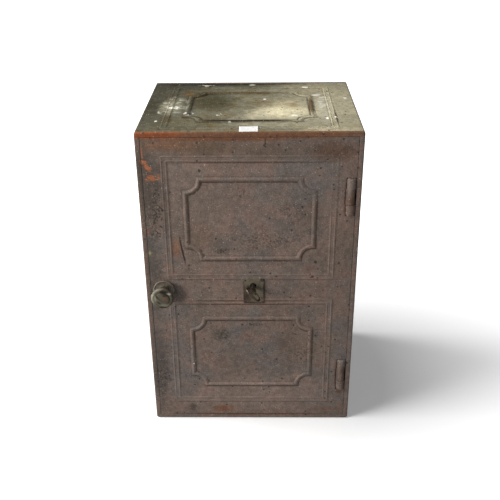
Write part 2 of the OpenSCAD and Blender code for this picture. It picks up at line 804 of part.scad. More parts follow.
// Latch: a round hub with a tongue that hangs down until the knob is turned
module latch_tongue() color(steel) {
  half = spindle_square / 2 + seat_fit;
  translate([-knob_x, 0, knob_z]) difference() {
    union() {
      bar_y(0, 0, bush_y1, tongue_y1, hub_r);
      box([-tongue_w / 2, bush_y1, -latch_len + tongue_w / 2], [tongue_w / 2, tongue_y1, 0]);
      bar_y(0, -latch_len + tongue_w / 2, bush_y1, tongue_y1, tongue_w / 2);
    }
    box([-half, bush_y1 - cut, -half], [half, tongue_y1 + cut, half]);
  }
}

module spindle_washer() color(steel) {
  difference() {
    bar_y(-knob_x, knob_z, tongue_y1, tongue_y1 + washer_t, washer_r);
    bar_y(-knob_x, knob_z, tongue_y1 - cut, tongue_y1 + washer_t + cut, spindle_thread_r + seat_fit);
  }
}

module spindle_nut() color(steel) {
  difference() {
    translate([-knob_x, tongue_y1 + washer_t, knob_z]) rotate([-90, 0, 0])
      cylinder(h = nut_t, r = nut_r, $fn = nut_sides);
    bar_y(-knob_x, knob_z, tongue_y1, tongue_y1 + washer_t + nut_t + cut, spindle_thread_r + seat_fit);
  }
}

// Open box of the lock, its floor against the door
module lock_case() color(iron_inside) {
  difference() {
    union() {
      difference() {
        box([lock_x0, door_back_y, lock_z0], [lock_x1, lock_y1, lock_z1]);
        box([lock_x0 + lock_wall, door_back_y + lock_wall, lock_z0 + lock_wall],
            [lock_x1 - lock_wall, lock_y1 + cut, lock_z1 - lock_wall]);
      }
      for (place = lock_screw_places)
        bar_y(place[0], place[1], door_back_y, lock_y1, lock_boss_r);
    }
    keyhole(key_r + keyway_fit, door_back_y - cut, door_back_y + lock_wall + cut);
    // Slot in the wall for the lock bolt
    box([lock_x0 - cut, lock_bolt_y0 - slide_fit, lock_bolt_z0 - slide_fit],
        [lock_x0 + lock_wall + cut, lock_bolt_y1 + slide_fit, lock_bolt_z1 + slide_fit]);
    for (place = lock_screw_places)
      bar_y(place[0], place[1], door_back_y - cut, lock_y1 + cut, small_screw_r + seat_fit);
    bar_y(guide_post_x, guide_post_z, door_back_y - cut, door_back_y + lock_wall + cut,
          guide_post_r + seat_fit);
  }
}

module lock_cover() color(iron_inside) {
  difference() {
    box([lock_x0, lock_y1, lock_z0], [lock_x1, cover_y1, lock_z1]);
    for (place = lock_screw_places)
      bar_y(place[0], place[1], lock_y1 - cut, cover_y1 + cut, small_screw_r + seat_fit);
    bar_y(guide_post_x, guide_post_z, lock_y1 - cut, cover_y1 + cut, guide_post_r + seat_fit);
    bar_y(key_x, key_z, lock_y1 - cut, cover_y1 + cut, drill_pin_r + seat_fit);
  }
}

// Cheese-head screw along Y with its head on the plane y, driven towards -Y
module door_screw(x, z, y) {
  difference() {
    union() {
      bar_y(x, z, door_back_y - small_screw_bite, y + small_screw_slot_h, small_screw_r);
      bar_y(x, z, y, y + small_screw_head_h, small_screw_head_r);
    }
    box([x - small_screw_head_r - cut, y + small_screw_head_h - small_screw_slot_h,
         z - small_screw_slot_w / 2],
        [x + small_screw_head_r + cut, y + small_screw_head_h + cut, z + small_screw_slot_w / 2]);
  }
}

module lock_screws() color(steel) {
  for (place = lock_screw_places) door_screw(place[0], place[1], cover_y1);
}

// Ring about the key's axis, from y0 to y1
module ward_ring(y0, y1) {
  difference() {
    bar_y(key_x, key_z, y0, y1, ward_r + ward_t / 2);
    bar_y(key_x, key_z, y0 - cut, y1 + cut, ward_r - ward_t / 2);
  }
}

module lock_wards() color(brass) {
  floor_y = door_back_y + lock_wall;
  difference() {
    ward_ring(floor_y, floor_y + floor_ward_h);
    box([key_x - slot_w / 2, floor_y - cut, key_z - ward_r - ward_t],
        [key_x + slot_w / 2, lock_y1, key_z]);
  }
  ward_ring(lock_y1 - cover_ward_h, lock_y1);
}

module drill_pin() color(steel) {
  bar_y(key_x, key_z, drill_pin_y, cover_y1, drill_pin_r);
}

module bolt_guide_post() color(steel) {
  bar_y(guide_post_x, guide_post_z, door_back_y, cover_y1, guide_post_r);
}

// Flat bolt of the lock: its talon takes the key's bit, and its tail slides on the guide post
module lock_bolt() color(steel) {
  slot_x0 = guide_post_x - guide_post_r - slide_fit - bolt_home;
  slot_x1 = guide_post_x + guide_post_r + slide_fit + bolt_travel - bolt_home;
  post_slot_r = guide_post_r + slide_fit;
  difference() {
    box([-carriage_x - carriage_w / 2, lock_bolt_y0, lock_bolt_z0],
        [lock_bolt_x1, lock_bolt_y1, lock_bolt_z1]);
    box([talon_x - talon_w / 2, lock_bolt_y0 - cut, lock_bolt_z0 - cut],
        [talon_x + talon_w / 2, lock_bolt_y1 + cut, lock_bolt_z0 + talon_h]);
    box([slot_x0, lock_bolt_y0 - cut, guide_post_z - post_slot_r],
        [slot_x1, lock_bolt_y1 + cut, guide_post_z + post_slot_r]);
    for (place = lock_bolt_rivet_places)
      bar_y(place[0], place[1], lock_bolt_y0 - cut, lock_bolt_y1 + cut, rivet_r + seat_fit);
  }
}

// Bent leaf on top of the lock bolt, which rubs under the wall of the lock case
module bolt_spring() color(steel) {
  spring_top = lock_z1 - lock_wall - slide_fit;
  translate([0, lock_bolt_y1, 0]) rotate([90, 0, 0]) linear_extrude(bar_t) {
    translate([spring_x, lock_bolt_z1]) square([spring_foot, spring_t]);
    polygon([[spring_x, lock_bolt_z1], [spring_x + spring_t, lock_bolt_z1],
             [spring_x - spring_lean + spring_tip, spring_top], [spring_x - spring_lean, spring_top]]);
  }
}

// Upright bar that joins the lock bolt and the two round bolts
module bolt_carriage() color(steel) {
  difference() {
    box([-carriage_x - carriage_w / 2, lock_bolt_y1, lower_bolt_z - carriage_over],
        [-carriage_x + carriage_w / 2, carriage_y1, upper_bolt_z + carriage_over]);
    for (place = lock_bolt_rivet_places)
      bar_y(place[0], place[1], lock_bolt_y1 - cut, carriage_y1 + cut, rivet_r + seat_fit);
    for (z = [lower_bolt_z, upper_bolt_z])
      bar_y(-carriage_x, z, lock_bolt_y1 - cut, carriage_y1 + cut, rivet_r + seat_fit);
  }
}

// Round bolt with a flat tang that lies on the carriage
module round_bolt(z) {
  difference() {
    union() {
      translate([0, bolt_y, z]) {
        bar_x(-bolt_end_x + bolt_chamfer, -tang_x, bolt_r);
        translate([-bolt_end_x, 0, 0]) rotate([0, 90, 0])
          cylinder(h = bolt_chamfer, r1 = bolt_r - bolt_chamfer, r2 = bolt_r);
      }
      box([-tang_x - cut, carriage_y1, z - tang_h / 2],
          [-tang_x + tang_len, carriage_y1 + tang_t, z + tang_h / 2]);
    }
    bar_y(-carriage_x, z, carriage_y1 - cut, carriage_y1 + tang_t + cut, rivet_r + seat_fit);
  }
}

module bolt_upper() color(steel) round_bolt(upper_bolt_z);
module bolt_lower() color(steel) round_bolt(lower_bolt_z);

// Rivet along Y with a round head at each end
module rivet(x, z, y0, y1) {
  bar_y(x, z, y0 - rivet_head_h, y1 + rivet_head_h, rivet_r);
  cone_y(x, z, y0 - rivet_head_h, y0, rivet_r, rivet_head_r);
  cone_y(x, z, y1, y1 + rivet_head_h, rivet_head_r, rivet_r);
}

module carriage_rivets() color(steel) {
  for (place = lock_bolt_rivet_places) rivet(place[0], place[1], lock_bolt_y0, carriage_y1);
  for (z = [lower_bolt_z, upper_bolt_z]) rivet(-carriage_x, z, lock_bolt_y1, carriage_y1 + tang_t);
}

// Guide of a round bolt: a bored block on a foot that is screwed to the door
module bolt_guide(z) {
  difference() {
    union() {
      box([-guide_x0, door_back_y, z - guide_half_h], [-guide_x1, guide_top_y, z + guide_half_h]);
      box([-guide_x0, door_back_y, z - guide_foot_h],
          [-guide_x1, door_back_y + guide_foot_t, z + guide_foot_h]);
    }
    translate([0, bolt_y, z]) bar_x(-guide_x0 - cut, -guide_x1 + cut, bolt_r + bolt_fit);
    for (side = [-1, 1])
      bar_y(-guide_x, z + side * guide_screw_z, door_back_y - cut,
            door_back_y + guide_foot_t + cut, small_screw_r + seat_fit);
  }
}

module bolt_guide_upper() color(iron_inside) bolt_guide(upper_bolt_z);
module bolt_guide_lower() color(iron_inside) bolt_guide(lower_bolt_z);

module bolt_guide_screws() color(steel) {
  for (z = [lower_bolt_z, upper_bolt_z], side = [-1, 1])
    door_screw(-guide_x, z + side * guide_screw_z, door_back_y + guide_foot_t);
}

// Loop of the key's bow, in the plane Z = 0, with its long axis along X
module bow_loop() {
  end_r = bow_h / 2 - bow_wire_r;
  end_x = bow_w / 2 - bow_h / 2;
  for (side = [0, 180]) rotate(side) {
    translate([end_x, 0, 0]) rotate(-90) rotate_extrude(angle = 180)
      translate([end_r, 0]) circle(r = bow_wire_r);
    translate([0, end_r, 0]) bar_x(-end_x, end_x, bow_wire_r);
  }
}

// Pipe key: bow, collar, pipe bored for the drill pin, and a bit cut for the wards
module key() color(brass) {
  bow_y = front_y - bow_reach;
  neck_y = bow_y + bow_h / 2 - bow_wire_r;
  translate([key_x, 0, key_z]) rotate([0, -key_turn, 0]) difference() {
    union() {
      translate([0, bow_y, 0]) rotate([0, 90, 0]) bow_loop();
      bar_y(0, 0, neck_y, bit_y1, key_r);
      bar_y(0, 0, neck_y + collar_y, neck_y + collar_y + collar_t, key_r + collar_out);
      bar_y(0, 0, neck_y + ring_y, neck_y + ring_y + ring_t, key_r + ring_out);
      box([-bit_t / 2, bit_y0, -bit_r], [bit_t / 2, bit_y1, 0]);
    }
    bar_y(0, 0, drill_pin_y - cut, bit_y1 + cut, drill_pin_r + drill_pin_fit);
    // Cuts that pass the wards
    translate([-key_x, 0, -key_z]) difference() {
      union() {
        bar_y(key_x, key_z, bit_y0 - cut, door_back_y + lock_wall + floor_ward_h + ward_gap,
              ward_r + ward_t / 2 + ward_gap);
        bar_y(key_x, key_z, lock_y1 - cover_ward_h - ward_gap, bit_y1 + cut,
              ward_r + ward_t / 2 + ward_gap);
      }
      bar_y(key_x, key_z, bit_y0 - 2 * cut, bit_y1 + 2 * cut, ward_r - ward_t / 2 - ward_gap);
    }
  }
}

case_shell();
back_plate();
back_plate_screws();
hinge_bracket_upper();
hinge_bracket_lower();
hinge_leaf_screws();
hinge_pin_upper();
hinge_pin_lower();
door_stop_left();
door_stop_right();
door_stop_top();
door_stop_bottom();
door_stop_screws();
door_plate();
escutcheon();
escutcheon_pins();
knob_rose();
door_knob();
knob_spindle();
spindle_bush();
latch_tongue();
spindle_washer();
spindle_nut();
lock_case();
lock_cover();
lock_screws();
lock_wards();
drill_pin();
bolt_guide_post();
lock_bolt();
bolt_spring();
bolt_carriage();
bolt_upper();
bolt_lower();
carriage_rivets();
bolt_guide_upper();
bolt_guide_lower();
bolt_guide_screws();
key();
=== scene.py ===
import logging
import math
from dataclasses import dataclass, field
from enum import Enum

import bpy
import numpy as np
from mathutils import Matrix, Vector


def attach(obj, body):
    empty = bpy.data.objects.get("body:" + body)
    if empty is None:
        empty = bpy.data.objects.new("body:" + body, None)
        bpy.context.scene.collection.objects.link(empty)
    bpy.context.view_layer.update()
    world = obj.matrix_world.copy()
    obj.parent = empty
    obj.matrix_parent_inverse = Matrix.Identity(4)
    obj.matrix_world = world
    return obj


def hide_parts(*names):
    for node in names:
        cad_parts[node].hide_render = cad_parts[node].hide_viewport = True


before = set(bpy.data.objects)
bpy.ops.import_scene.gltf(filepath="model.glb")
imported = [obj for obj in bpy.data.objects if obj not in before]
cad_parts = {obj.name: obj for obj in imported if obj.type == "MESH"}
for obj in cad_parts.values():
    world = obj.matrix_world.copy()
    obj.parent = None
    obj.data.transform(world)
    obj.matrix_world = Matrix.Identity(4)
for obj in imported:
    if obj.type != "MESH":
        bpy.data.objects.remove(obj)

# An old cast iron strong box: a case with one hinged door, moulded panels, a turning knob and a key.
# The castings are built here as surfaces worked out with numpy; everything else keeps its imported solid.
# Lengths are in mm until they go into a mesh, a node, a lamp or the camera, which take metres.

LOG = logging.getLogger("strong_box")
MM = 0.001
DIRT_AND_SHADE = "dirt_and_shade"


def linear(code: str) -> tuple[float, float, float, float]:
    """Turns an sRGB hex colour such as "#6b5d57" into linear red, green, blue and an alpha of 1."""
    channels = [int(code[i : i + 2], 16) / 255 for i in (1, 3, 5)]
    return (*[c / 12.92 if c <= 0.04045 else ((c + 0.055) / 1.055) ** 2.4 for c in channels], 1.0)


def per_metre(size_mm: float) -> float:
    """Returns the texture scale at which one pattern cell is size_mm millimetres wide."""
    return 1000.0 / size_mm


def add(
    tree: bpy.types.NodeTree, kind: str, inputs: dict | None = None, **settings: object
) -> bpy.types.Node:
    """Adds one node with its settings and its links.

    Args:
        tree: the material's or the world's node tree.
        kind: the node's type without its "ShaderNode" prefix.
        inputs: for each input, by name or number, a value or the output that feeds it.
        settings: the node's own properties.

    Returns:
        The new node.
    """
    node = tree.nodes.new("ShaderNode" + kind)
    for name, value in settings.items():
        setattr(node, name, value)
    for name, value in (inputs or {}).items():
        if isinstance(value, bpy.types.NodeSocket):
            tree.links.new(value, node.inputs[name])
        else:
            node.inputs[name].default_value = value
    return node


def cleared(owner: bpy.types.Material | bpy.types.World) -> bpy.types.NodeTree:
    """Returns the node tree of a material or a world, switched on and emptied.

    Args:
        owner: whose tree it is.

    Returns:
        The empty tree.
    """
    owner.use_nodes = True
    owner.node_tree.nodes.clear()
    return owner.node_tree


def new_mesh(name: str, points: np.ndarray, faces: list) -> bpy.types.Mesh:
    """Makes a mesh.

    Args:
        name: the mesh's name.
        points: places of its vertices, in mm.
        faces: lists of vertex numbers.

    Returns:
        The mesh, in metres.
    """
    mesh = bpy.data.meshes.new(name)
    mesh.from_pydata((points * MM).tolist(), [], faces)
    return mesh


def new_object(name: str, data: bpy.types.ID) -> bpy.types.Object:
    """Makes an object of a mesh, a light or a camera.

    Args:
        name: the object's name.
        data: what it shows.

    Returns:
        The object, linked to the scene.
    """
    made = bpy.data.objects.new(name, data)
    bpy.context.scene.collection.objects.link(made)
    return made


@dataclass(frozen=True)
class Blot:
    """A blot on a surface: a stain, painted light or painted shade.

    Attributes:
        colour: its colour at the middle.
        place: its middle in the part's frame, in mm.
        size: its half size along X, Y and Z, in mm.
        strength: how far it covers what lies under it, from 0 to 1.
        softness: share of its size over which its edge fades.
        crumb_mm: size of the crumbs it is broken into, or 0 for a whole blot.
        turn: how far it is turned about Y, in degrees.
    """

    colour: str
    place: tuple[float, float, float]
    size: tuple[float, float, float]
    strength: float
    softness: float
    crumb_mm: float = 0.0
    turn: float = 0.0


@dataclass(frozen=True)
class Casting:
    """Cast metal with a dull, sandy skin: mottled in broad patches, darkened in its crevices with dirt and
    painted shade, freckled, pitted.

    Worn paint, bare iron and tarnished brass differ only in their values.

    Attributes:
        name: the material's name.
        common: colour of most of the skin.
        warm: colour of the brown patches.
        cool: colour of the grey patches.
        crevice: colour of the dirt and the painted shade beside the mouldings.
        speck: colour of the fine pale specks.
        pit: colour of the small holes.
        roughness: roughness of the skin.
        grain: how strongly the sand grain shades the colour.
        cloud: how strongly the finger-wide clouds shade it.
        pits: how readily the pits show; at 0 few do.
        specks: how strongly the pale specks show, from 0 to 1.
        gloss: level of the mirror-like part of the shine.
        blots: the stains and the painted light and shade, the first one lowest.
    """

    name: str
    common: str
    warm: str
    cool: str
    crevice: str = "#3f2f27"
    speck: str = "#b5aaa0"
    pit: str = "#231a16"
    roughness: float = 0.62
    grain: float = 0.24
    cloud: float = 0.2
    pits: float = 0.3
    specks: float = 0.55
    gloss: float = 0.3
    blots: tuple[Blot, ...] = ()

    # Sizes of the patterns
    PATCH_MM = 110.0
    MOTTLE_MM = 30.0
    CLOUD_MM = 9.0
    # Moulding sand leaves grains of under 1 mm, drawn larger here so that they show in the render
    GRAIN_MM = 2.4
    SPECK_MM = 4.2
    PIT_MM = 13.0
    RAGGED_MM = 9.0
    # How far the edge of a blot is shifted at most, as a share of its smallest half size
    RAGGED_SHARE = 0.4
    # Levels of a noise at which what it steers begins and is complete
    PATCH_LEVELS = (0.42, 0.62)
    MOTTLE_LEVELS = (0.45, 0.7)
    DIRT_AND_SHADE_LEVELS = (0.25, 0.6)
    CRUMB_LEVELS = (0.52, 0.6)
    # Nearly all of a noise lies between these levels
    NOISE_LEVELS = (0.3, 0.7)
    # Share of the dirt and painted shade that stays where the noise thins it most
    DIRT_AND_SHADE_LEFT = 0.45
    # How far the roughness falls and rises over the mottling
    SMOOTHER = 0.08
    ROUGHER = 0.1
    # Strength of each relief, and its depth in mm
    MOTTLE_RELIEF = (0.25, 0.6)
    GRAIN_RELIEF = (0.6, 0.45)
    # A cell's random value from which its speck shows
    SPECK_CHANCE = 0.45
    # Distances from a cell's point at which its speck and its pit begin to show and are complete
    SPECK_RIM = (0.24, 0.12)
    PIT_RIM = (0.2, 0.1)
    # A pit shows where its random value and the patch noise add up to more than this less the finish's pits
    PIT_LEVEL = 1.35
    PIT_COVER = 0.8

    def material(self) -> bpy.types.Material:
        """Builds the material: tints in patches, blots, dirt and painted shade, specks and pits, shaded by
        three noises.

        Returns:
            The material.
        """
        material = bpy.data.materials.new(self.name)
        tree = cleared(material)
        place = add(tree, "TexCoord").outputs["Object"]
        patch = add(tree, "TexNoise", {"Vector": place, "Scale": per_metre(self.PATCH_MM), "Detail": 3.0})
        mottle = add(tree, "TexNoise", {"Vector": place, "Scale": per_metre(self.MOTTLE_MM), "Detail": 4.0})
        grain = add(tree, "TexNoise", {"Vector": place, "Scale": per_metre(self.GRAIN_MM), "Detail": 2.0})
        colour = linear(self.common)
        for noise, (begin, full), tint in (
            (patch, self.PATCH_LEVELS, self.cool),
            (mottle, self.MOTTLE_LEVELS, self.warm),
        ):
            share = add(tree, "MapRange", {0: noise.outputs[0], 1: begin, 2: full})
            tinted = add(tree, "Mix", {0: share.outputs[0], 6: colour, 7: linear(tint)}, data_type="RGBA")
            colour = tinted.outputs[2]
        colour = self._blotted(tree, place, colour)
        colour = self._dirtied_and_shaded(tree, mottle.outputs[0], colour)
        colour = self._freckled(tree, place, patch.outputs[0], colour)
        cloud = add(tree, "TexNoise", {"Vector": place, "Scale": per_metre(self.CLOUD_MM), "Detail": 3.0})
        low, high = self.NOISE_LEVELS
        for noise, swing in ((mottle, self.cloud / 2), (cloud, self.cloud), (grain, self.grain)):
            shade = add(tree, "MapRange", {0: noise.outputs[0], 1: low, 2: high, 3: 1 - swing, 4: 1 + swing})
            shaded = add(
                tree, "Mix", {0: 1.0, 6: colour, 7: shade.outputs[0]}, data_type="RGBA", blend_type="MULTIPLY"
            )
            colour = shaded.outputs[2]
        smooth, harsh = self.roughness - self.SMOOTHER, self.roughness + self.ROUGHER
        rough = add(tree, "MapRange", {0: mottle.outputs[0], 1: low, 2: high, 3: smooth, 4: harsh})
        strength, depth = self.MOTTLE_RELIEF
        height = mottle.outputs[0]
        relief = add(tree, "Bump", {"Height": height, "Strength": strength, "Distance": depth * MM})
        strength, depth = self.GRAIN_RELIEF
        relief = add(
            tree,
            "Bump",
            {
                "Height": grain.outputs[0],
                "Strength": strength,
                "Distance": depth * MM,
                "Normal": relief.outputs[0],
            },
        )
        shader = add(
            tree,
            "BsdfPrincipled",
            {
                "Base Color": colour,
                "Roughness": rough.outputs[0],
                "Normal": relief.outputs[0],
                "Specular IOR Level": self.gloss,
            },
        )
        add(tree, "OutputMaterial", {"Surface": shader.outputs[0]})
        return material

    def _blotted(
        self, tree: bpy.types.NodeTree, place: bpy.types.NodeSocket, colour: bpy.types.NodeSocket
    ) -> bpy.types.NodeSocket:
        """Lays the blots over a colour, each an ellipsoid whose edge a noise makes ragged.

        Args:
            tree: the material's node tree.
            place: the place on the piece.
            colour: what lies under the blots.

        Returns:
            The stained colour.
        """
        warp = add(tree, "TexNoise", {"Vector": place, "Scale": per_metre(self.RAGGED_MM), "Detail": 3.0})
        warp = add(tree, "VectorMath", {0: warp.outputs[1], 1: (0.5,) * 3}, operation="SUBTRACT")
        for blot in self.blots:
            scale = [1 / (s * MM) for s in blot.size]
            spread = 2 * min(self.RAGGED_MM, self.RAGGED_SHARE * min(blot.size)) * MM
            ragged = add(
                tree, "VectorMath", {0: warp.outputs[0], 1: (spread,) * 3, 2: place}, operation="MULTIPLY_ADD"
            )
            if blot.turn:
                ragged = add(
                    tree,
                    "VectorRotate",
                    {
                        "Vector": ragged.outputs[0],
                        "Center": [p * MM for p in blot.place],
                        "Angle": -math.radians(blot.turn),
                    },
                    rotation_type="Y_AXIS",
                )
            shifted = add(
                tree,
                "Mapping",
                {
                    "Vector": ragged.outputs[0],
                    "Location": [-p * MM * s for p, s in zip(blot.place, scale)],
                    "Scale": scale,
                },
            )
            reach = add(tree, "VectorMath", {0: shifted.outputs[0]}, operation="LENGTH")
            cover = add(
                tree,
                "MapRange",
                {0: reach.outputs["Value"], 1: 1.0, 2: 1.0 - blot.softness, 3: 0.0, 4: blot.strength},
                interpolation_type="SMOOTHSTEP",
            )
            share = cover.outputs[0]
            if blot.crumb_mm:
                scale, (begin, full) = per_metre(blot.crumb_mm), self.CRUMB_LEVELS
                crumb = add(tree, "TexNoise", {"Vector": place, "Scale": scale, "Detail": 2.0})
                broken = add(tree, "MapRange", {0: crumb.outputs[0], 1: begin, 2: full})
                share = add(tree, "Math", {0: share, 1: broken.outputs[0]}, operation="MULTIPLY").outputs[0]
            stained = add(tree, "Mix", {0: share, 6: colour, 7: linear(blot.colour)}, data_type="RGBA")
            colour = stained.outputs[2]
        return colour

    def _dirtied_and_shaded(
        self, tree: bpy.types.NodeTree, mottle: bpy.types.NodeSocket, colour: bpy.types.NodeSocket
    ) -> bpy.types.NodeSocket:
        """Darkens the crevices with dirt and painted shade, which the surfaces carry as an attribute.

        Args:
            tree: the material's node tree.
            mottle: noise that breaks the dirt and painted shade up.
            colour: what lies under them.

        Returns:
            The colour with its dirt and painted shade.
        """
        begin, full = self.DIRT_AND_SHADE_LEVELS
        broken = add(tree, "MapRange", {0: mottle, 1: begin, 2: full, 3: self.DIRT_AND_SHADE_LEFT, 4: 1.0})
        # The attribute holds dirt and, on the mouldings' feet away from the light, painted shade
        dirt_and_shade = add(tree, "Attribute", attribute_name=DIRT_AND_SHADE)
        share = add(tree, "Math", {0: dirt_and_shade.outputs["Fac"], 1: broken.outputs[0]}, operation="MULTIPLY")
        darkened = add(tree, "Mix", {0: share.outputs[0], 6: colour, 7: linear(self.crevice)}, data_type="RGBA")
        return darkened.outputs[2]

    def _freckled(
        self,
        tree: bpy.types.NodeTree,
        place: bpy.types.NodeSocket,
        patch: bpy.types.NodeSocket,
        colour: bpy.types.NodeSocket,
    ) -> bpy.types.NodeSocket:
        """Adds the fine pale specks and the small dark pits.

        Args:
            tree: the material's node tree.
            place: the place on the piece.
            patch: noise that gathers the pits in some areas.
            colour: what lies under them.

        Returns:
            The freckled colour.
        """
        speck = add(tree, "TexVoronoi", {"Vector": place, "Scale": per_metre(self.SPECK_MM)})
        chance = add(tree, "SeparateColor", {0: speck.outputs["Color"]})
        least = self.SPECK_CHANCE
        bright = add(tree, "MapRange", {0: chance.outputs[0], 1: least, 2: 1.0, 3: 0.0, 4: self.specks})
        begin, full = self.SPECK_RIM
        dot = add(tree, "MapRange", {0: speck.outputs["Distance"], 1: begin, 2: full})
        share = add(tree, "Math", {0: dot.outputs[0], 1: bright.outputs[0]}, operation="MULTIPLY")
        specked = add(tree, "Mix", {0: share.outputs[0], 6: colour, 7: linear(self.speck)}, data_type="RGBA")
        pit = add(tree, "TexVoronoi", {"Vector": place, "Scale": per_metre(self.PIT_MM)})
        chance = add(tree, "SeparateColor", {0: pit.outputs["Color"]})
        gathered = add(tree, "Math", {0: chance.outputs[0], 1: patch}, operation="ADD")
        least = self.PIT_LEVEL - self.pits
        shown = add(tree, "Math", {0: gathered.outputs[0], 1: least}, operation="GREATER_THAN")
        (begin, full), cover = self.PIT_RIM, self.PIT_COVER
        hole = add(tree, "MapRange", {0: pit.outputs["Distance"], 1: begin, 2: full, 3: 0.0, 4: cover})
        share = add(tree, "Math", {0: hole.outputs[0], 1: shown.outputs[0]}, operation="MULTIPLY")
        pitted = add(
            tree, "Mix", {0: share.outputs[0], 6: specked.outputs[2], 7: linear(self.pit)}, data_type="RGBA"
        )
        return pitted.outputs[2]


@dataclass(frozen=True)
class Metal:
    """A turned, filed or drawn metal, dulled by age: clean metal with patches of matt tarnish.

    Attributes:
        name: the material's name.
        common: colour of the metal.
        tarnish: colour of its patches of tarnish.
        roughness: roughness of the clean metal.
        metallic: how metallic it is where it is clean.
        patch_mm: size of the patches of tarnish.
        share: how much of it the tarnish covers, from 0 to 1.
    """

    name: str
    common: str
    tarnish: str
    roughness: float = 0.4
    metallic: float = 0.8
    patch_mm: float = 8.0
    share: float = 0.5

    SCRATCH_MM = 0.8
    # Levels of the patch noise at which the tarnish begins and is complete, less half its share
    TARNISH_LEVELS = (0.75, 0.95)
    # Levels of the scratch noise, and the shades that they give
    SCRATCH_LEVELS = (0.3, 0.7)
    SCRATCH_SHADES = (0.85, 1.12)
    # How much rougher the tarnish is, how rough it gets at most, and how much of the metal's look it leaves
    ROUGHER = 0.3
    ROUGHEST = 0.9
    METAL_LEFT = 0.4
    # Strength of the scratches, and their depth in mm
    SCRATCH_RELIEF = (0.3, 0.1)

    def material(self) -> bpy.types.Material:
        """Builds the material: clean metal under patches of tarnish, with fine scratches over both.

        Returns:
            The material.
        """
        material = bpy.data.materials.new(self.name)
        tree = cleared(material)
        place = add(tree, "TexCoord").outputs["Object"]
        patch = add(tree, "TexNoise", {"Vector": place, "Scale": per_metre(self.patch_mm), "Detail": 5.0})
        scratch = add(tree, "TexNoise", {"Vector": place, "Scale": per_metre(self.SCRATCH_MM), "Detail": 3.0})
        begin, full = (level - 0.5 * self.share for level in self.TARNISH_LEVELS)
        cover = add(tree, "MapRange", {0: patch.outputs[0], 1: begin, 2: full}).outputs[0]
        clean, dull = linear(self.common), linear(self.tarnish)
        colour = add(tree, "Mix", {0: cover, 6: clean, 7: dull}, data_type="RGBA")
        (low, high), (dark, bright) = self.SCRATCH_LEVELS, self.SCRATCH_SHADES
        shade = add(tree, "MapRange", {0: scratch.outputs[0], 1: low, 2: high, 3: dark, 4: bright})
        colour = add(
            tree,
            "Mix",
            {0: 1.0, 6: colour.outputs[2], 7: shade.outputs[0]},
            data_type="RGBA",
            blend_type="MULTIPLY",
        )
        roughest = min(self.roughness + self.ROUGHER, self.ROUGHEST)
        rough = add(tree, "MapRange", {0: cover, 3: self.roughness, 4: roughest})
        metallic = add(tree, "MapRange", {0: cover, 3: self.metallic, 4: self.metallic * self.METAL_LEFT})
        strength, depth = self.SCRATCH_RELIEF
        height = scratch.outputs[0]
        relief = add(tree, "Bump", {"Height": height, "Strength": strength, "Distance": depth * MM})
        shader = add(
            tree,
            "BsdfPrincipled",
            {
                "Base Color": colour.outputs[2],
                "Metallic": metallic.outputs[0],
                "Roughness": rough.outputs[0],
                "Normal": relief.outputs[0],
            },
        )
        add(tree, "OutputMaterial", {"Surface": shader.outputs[0]})
        return material


# Colours that several stains share
RUST = "#8a5130"
CRACK = "#1d1714"
FLAKED = "#332a25"
PITTED = "#2e2420"
# Where the front and the top of the case lie
FRONT_Y = -165
TOP_Z = 636
# Half depth of the blots on a flat face, which takes in its mouldings and the edges round it
REACH = 40


def on_front(
    colour: str,
    place: tuple[float, float],
    half: tuple[float, float],
    strength: float,
    softness: float,
    crumb_mm: float = 0.0,
    turn: float = 0.0,
) -> Blot:
    """Returns a blot on the front, with its place and its half size along X and Z."""
    middle, size = (place[0], FRONT_Y, place[1]), (half[0], REACH, half[1])
    return Blot(colour, middle, size, strength, softness, crumb_mm, turn)


def on_top(
    colour: str,
    place: tuple[float, float],
    half: tuple[float, float],
    strength: float,
    softness: float,
    crumb_mm: float = 0.0,
) -> Blot:
    """Returns a blot on the top, with its place and its half size along X and Y."""
    return Blot(colour, (*place, TOP_Z), (*half, REACH), strength, softness, crumb_mm)


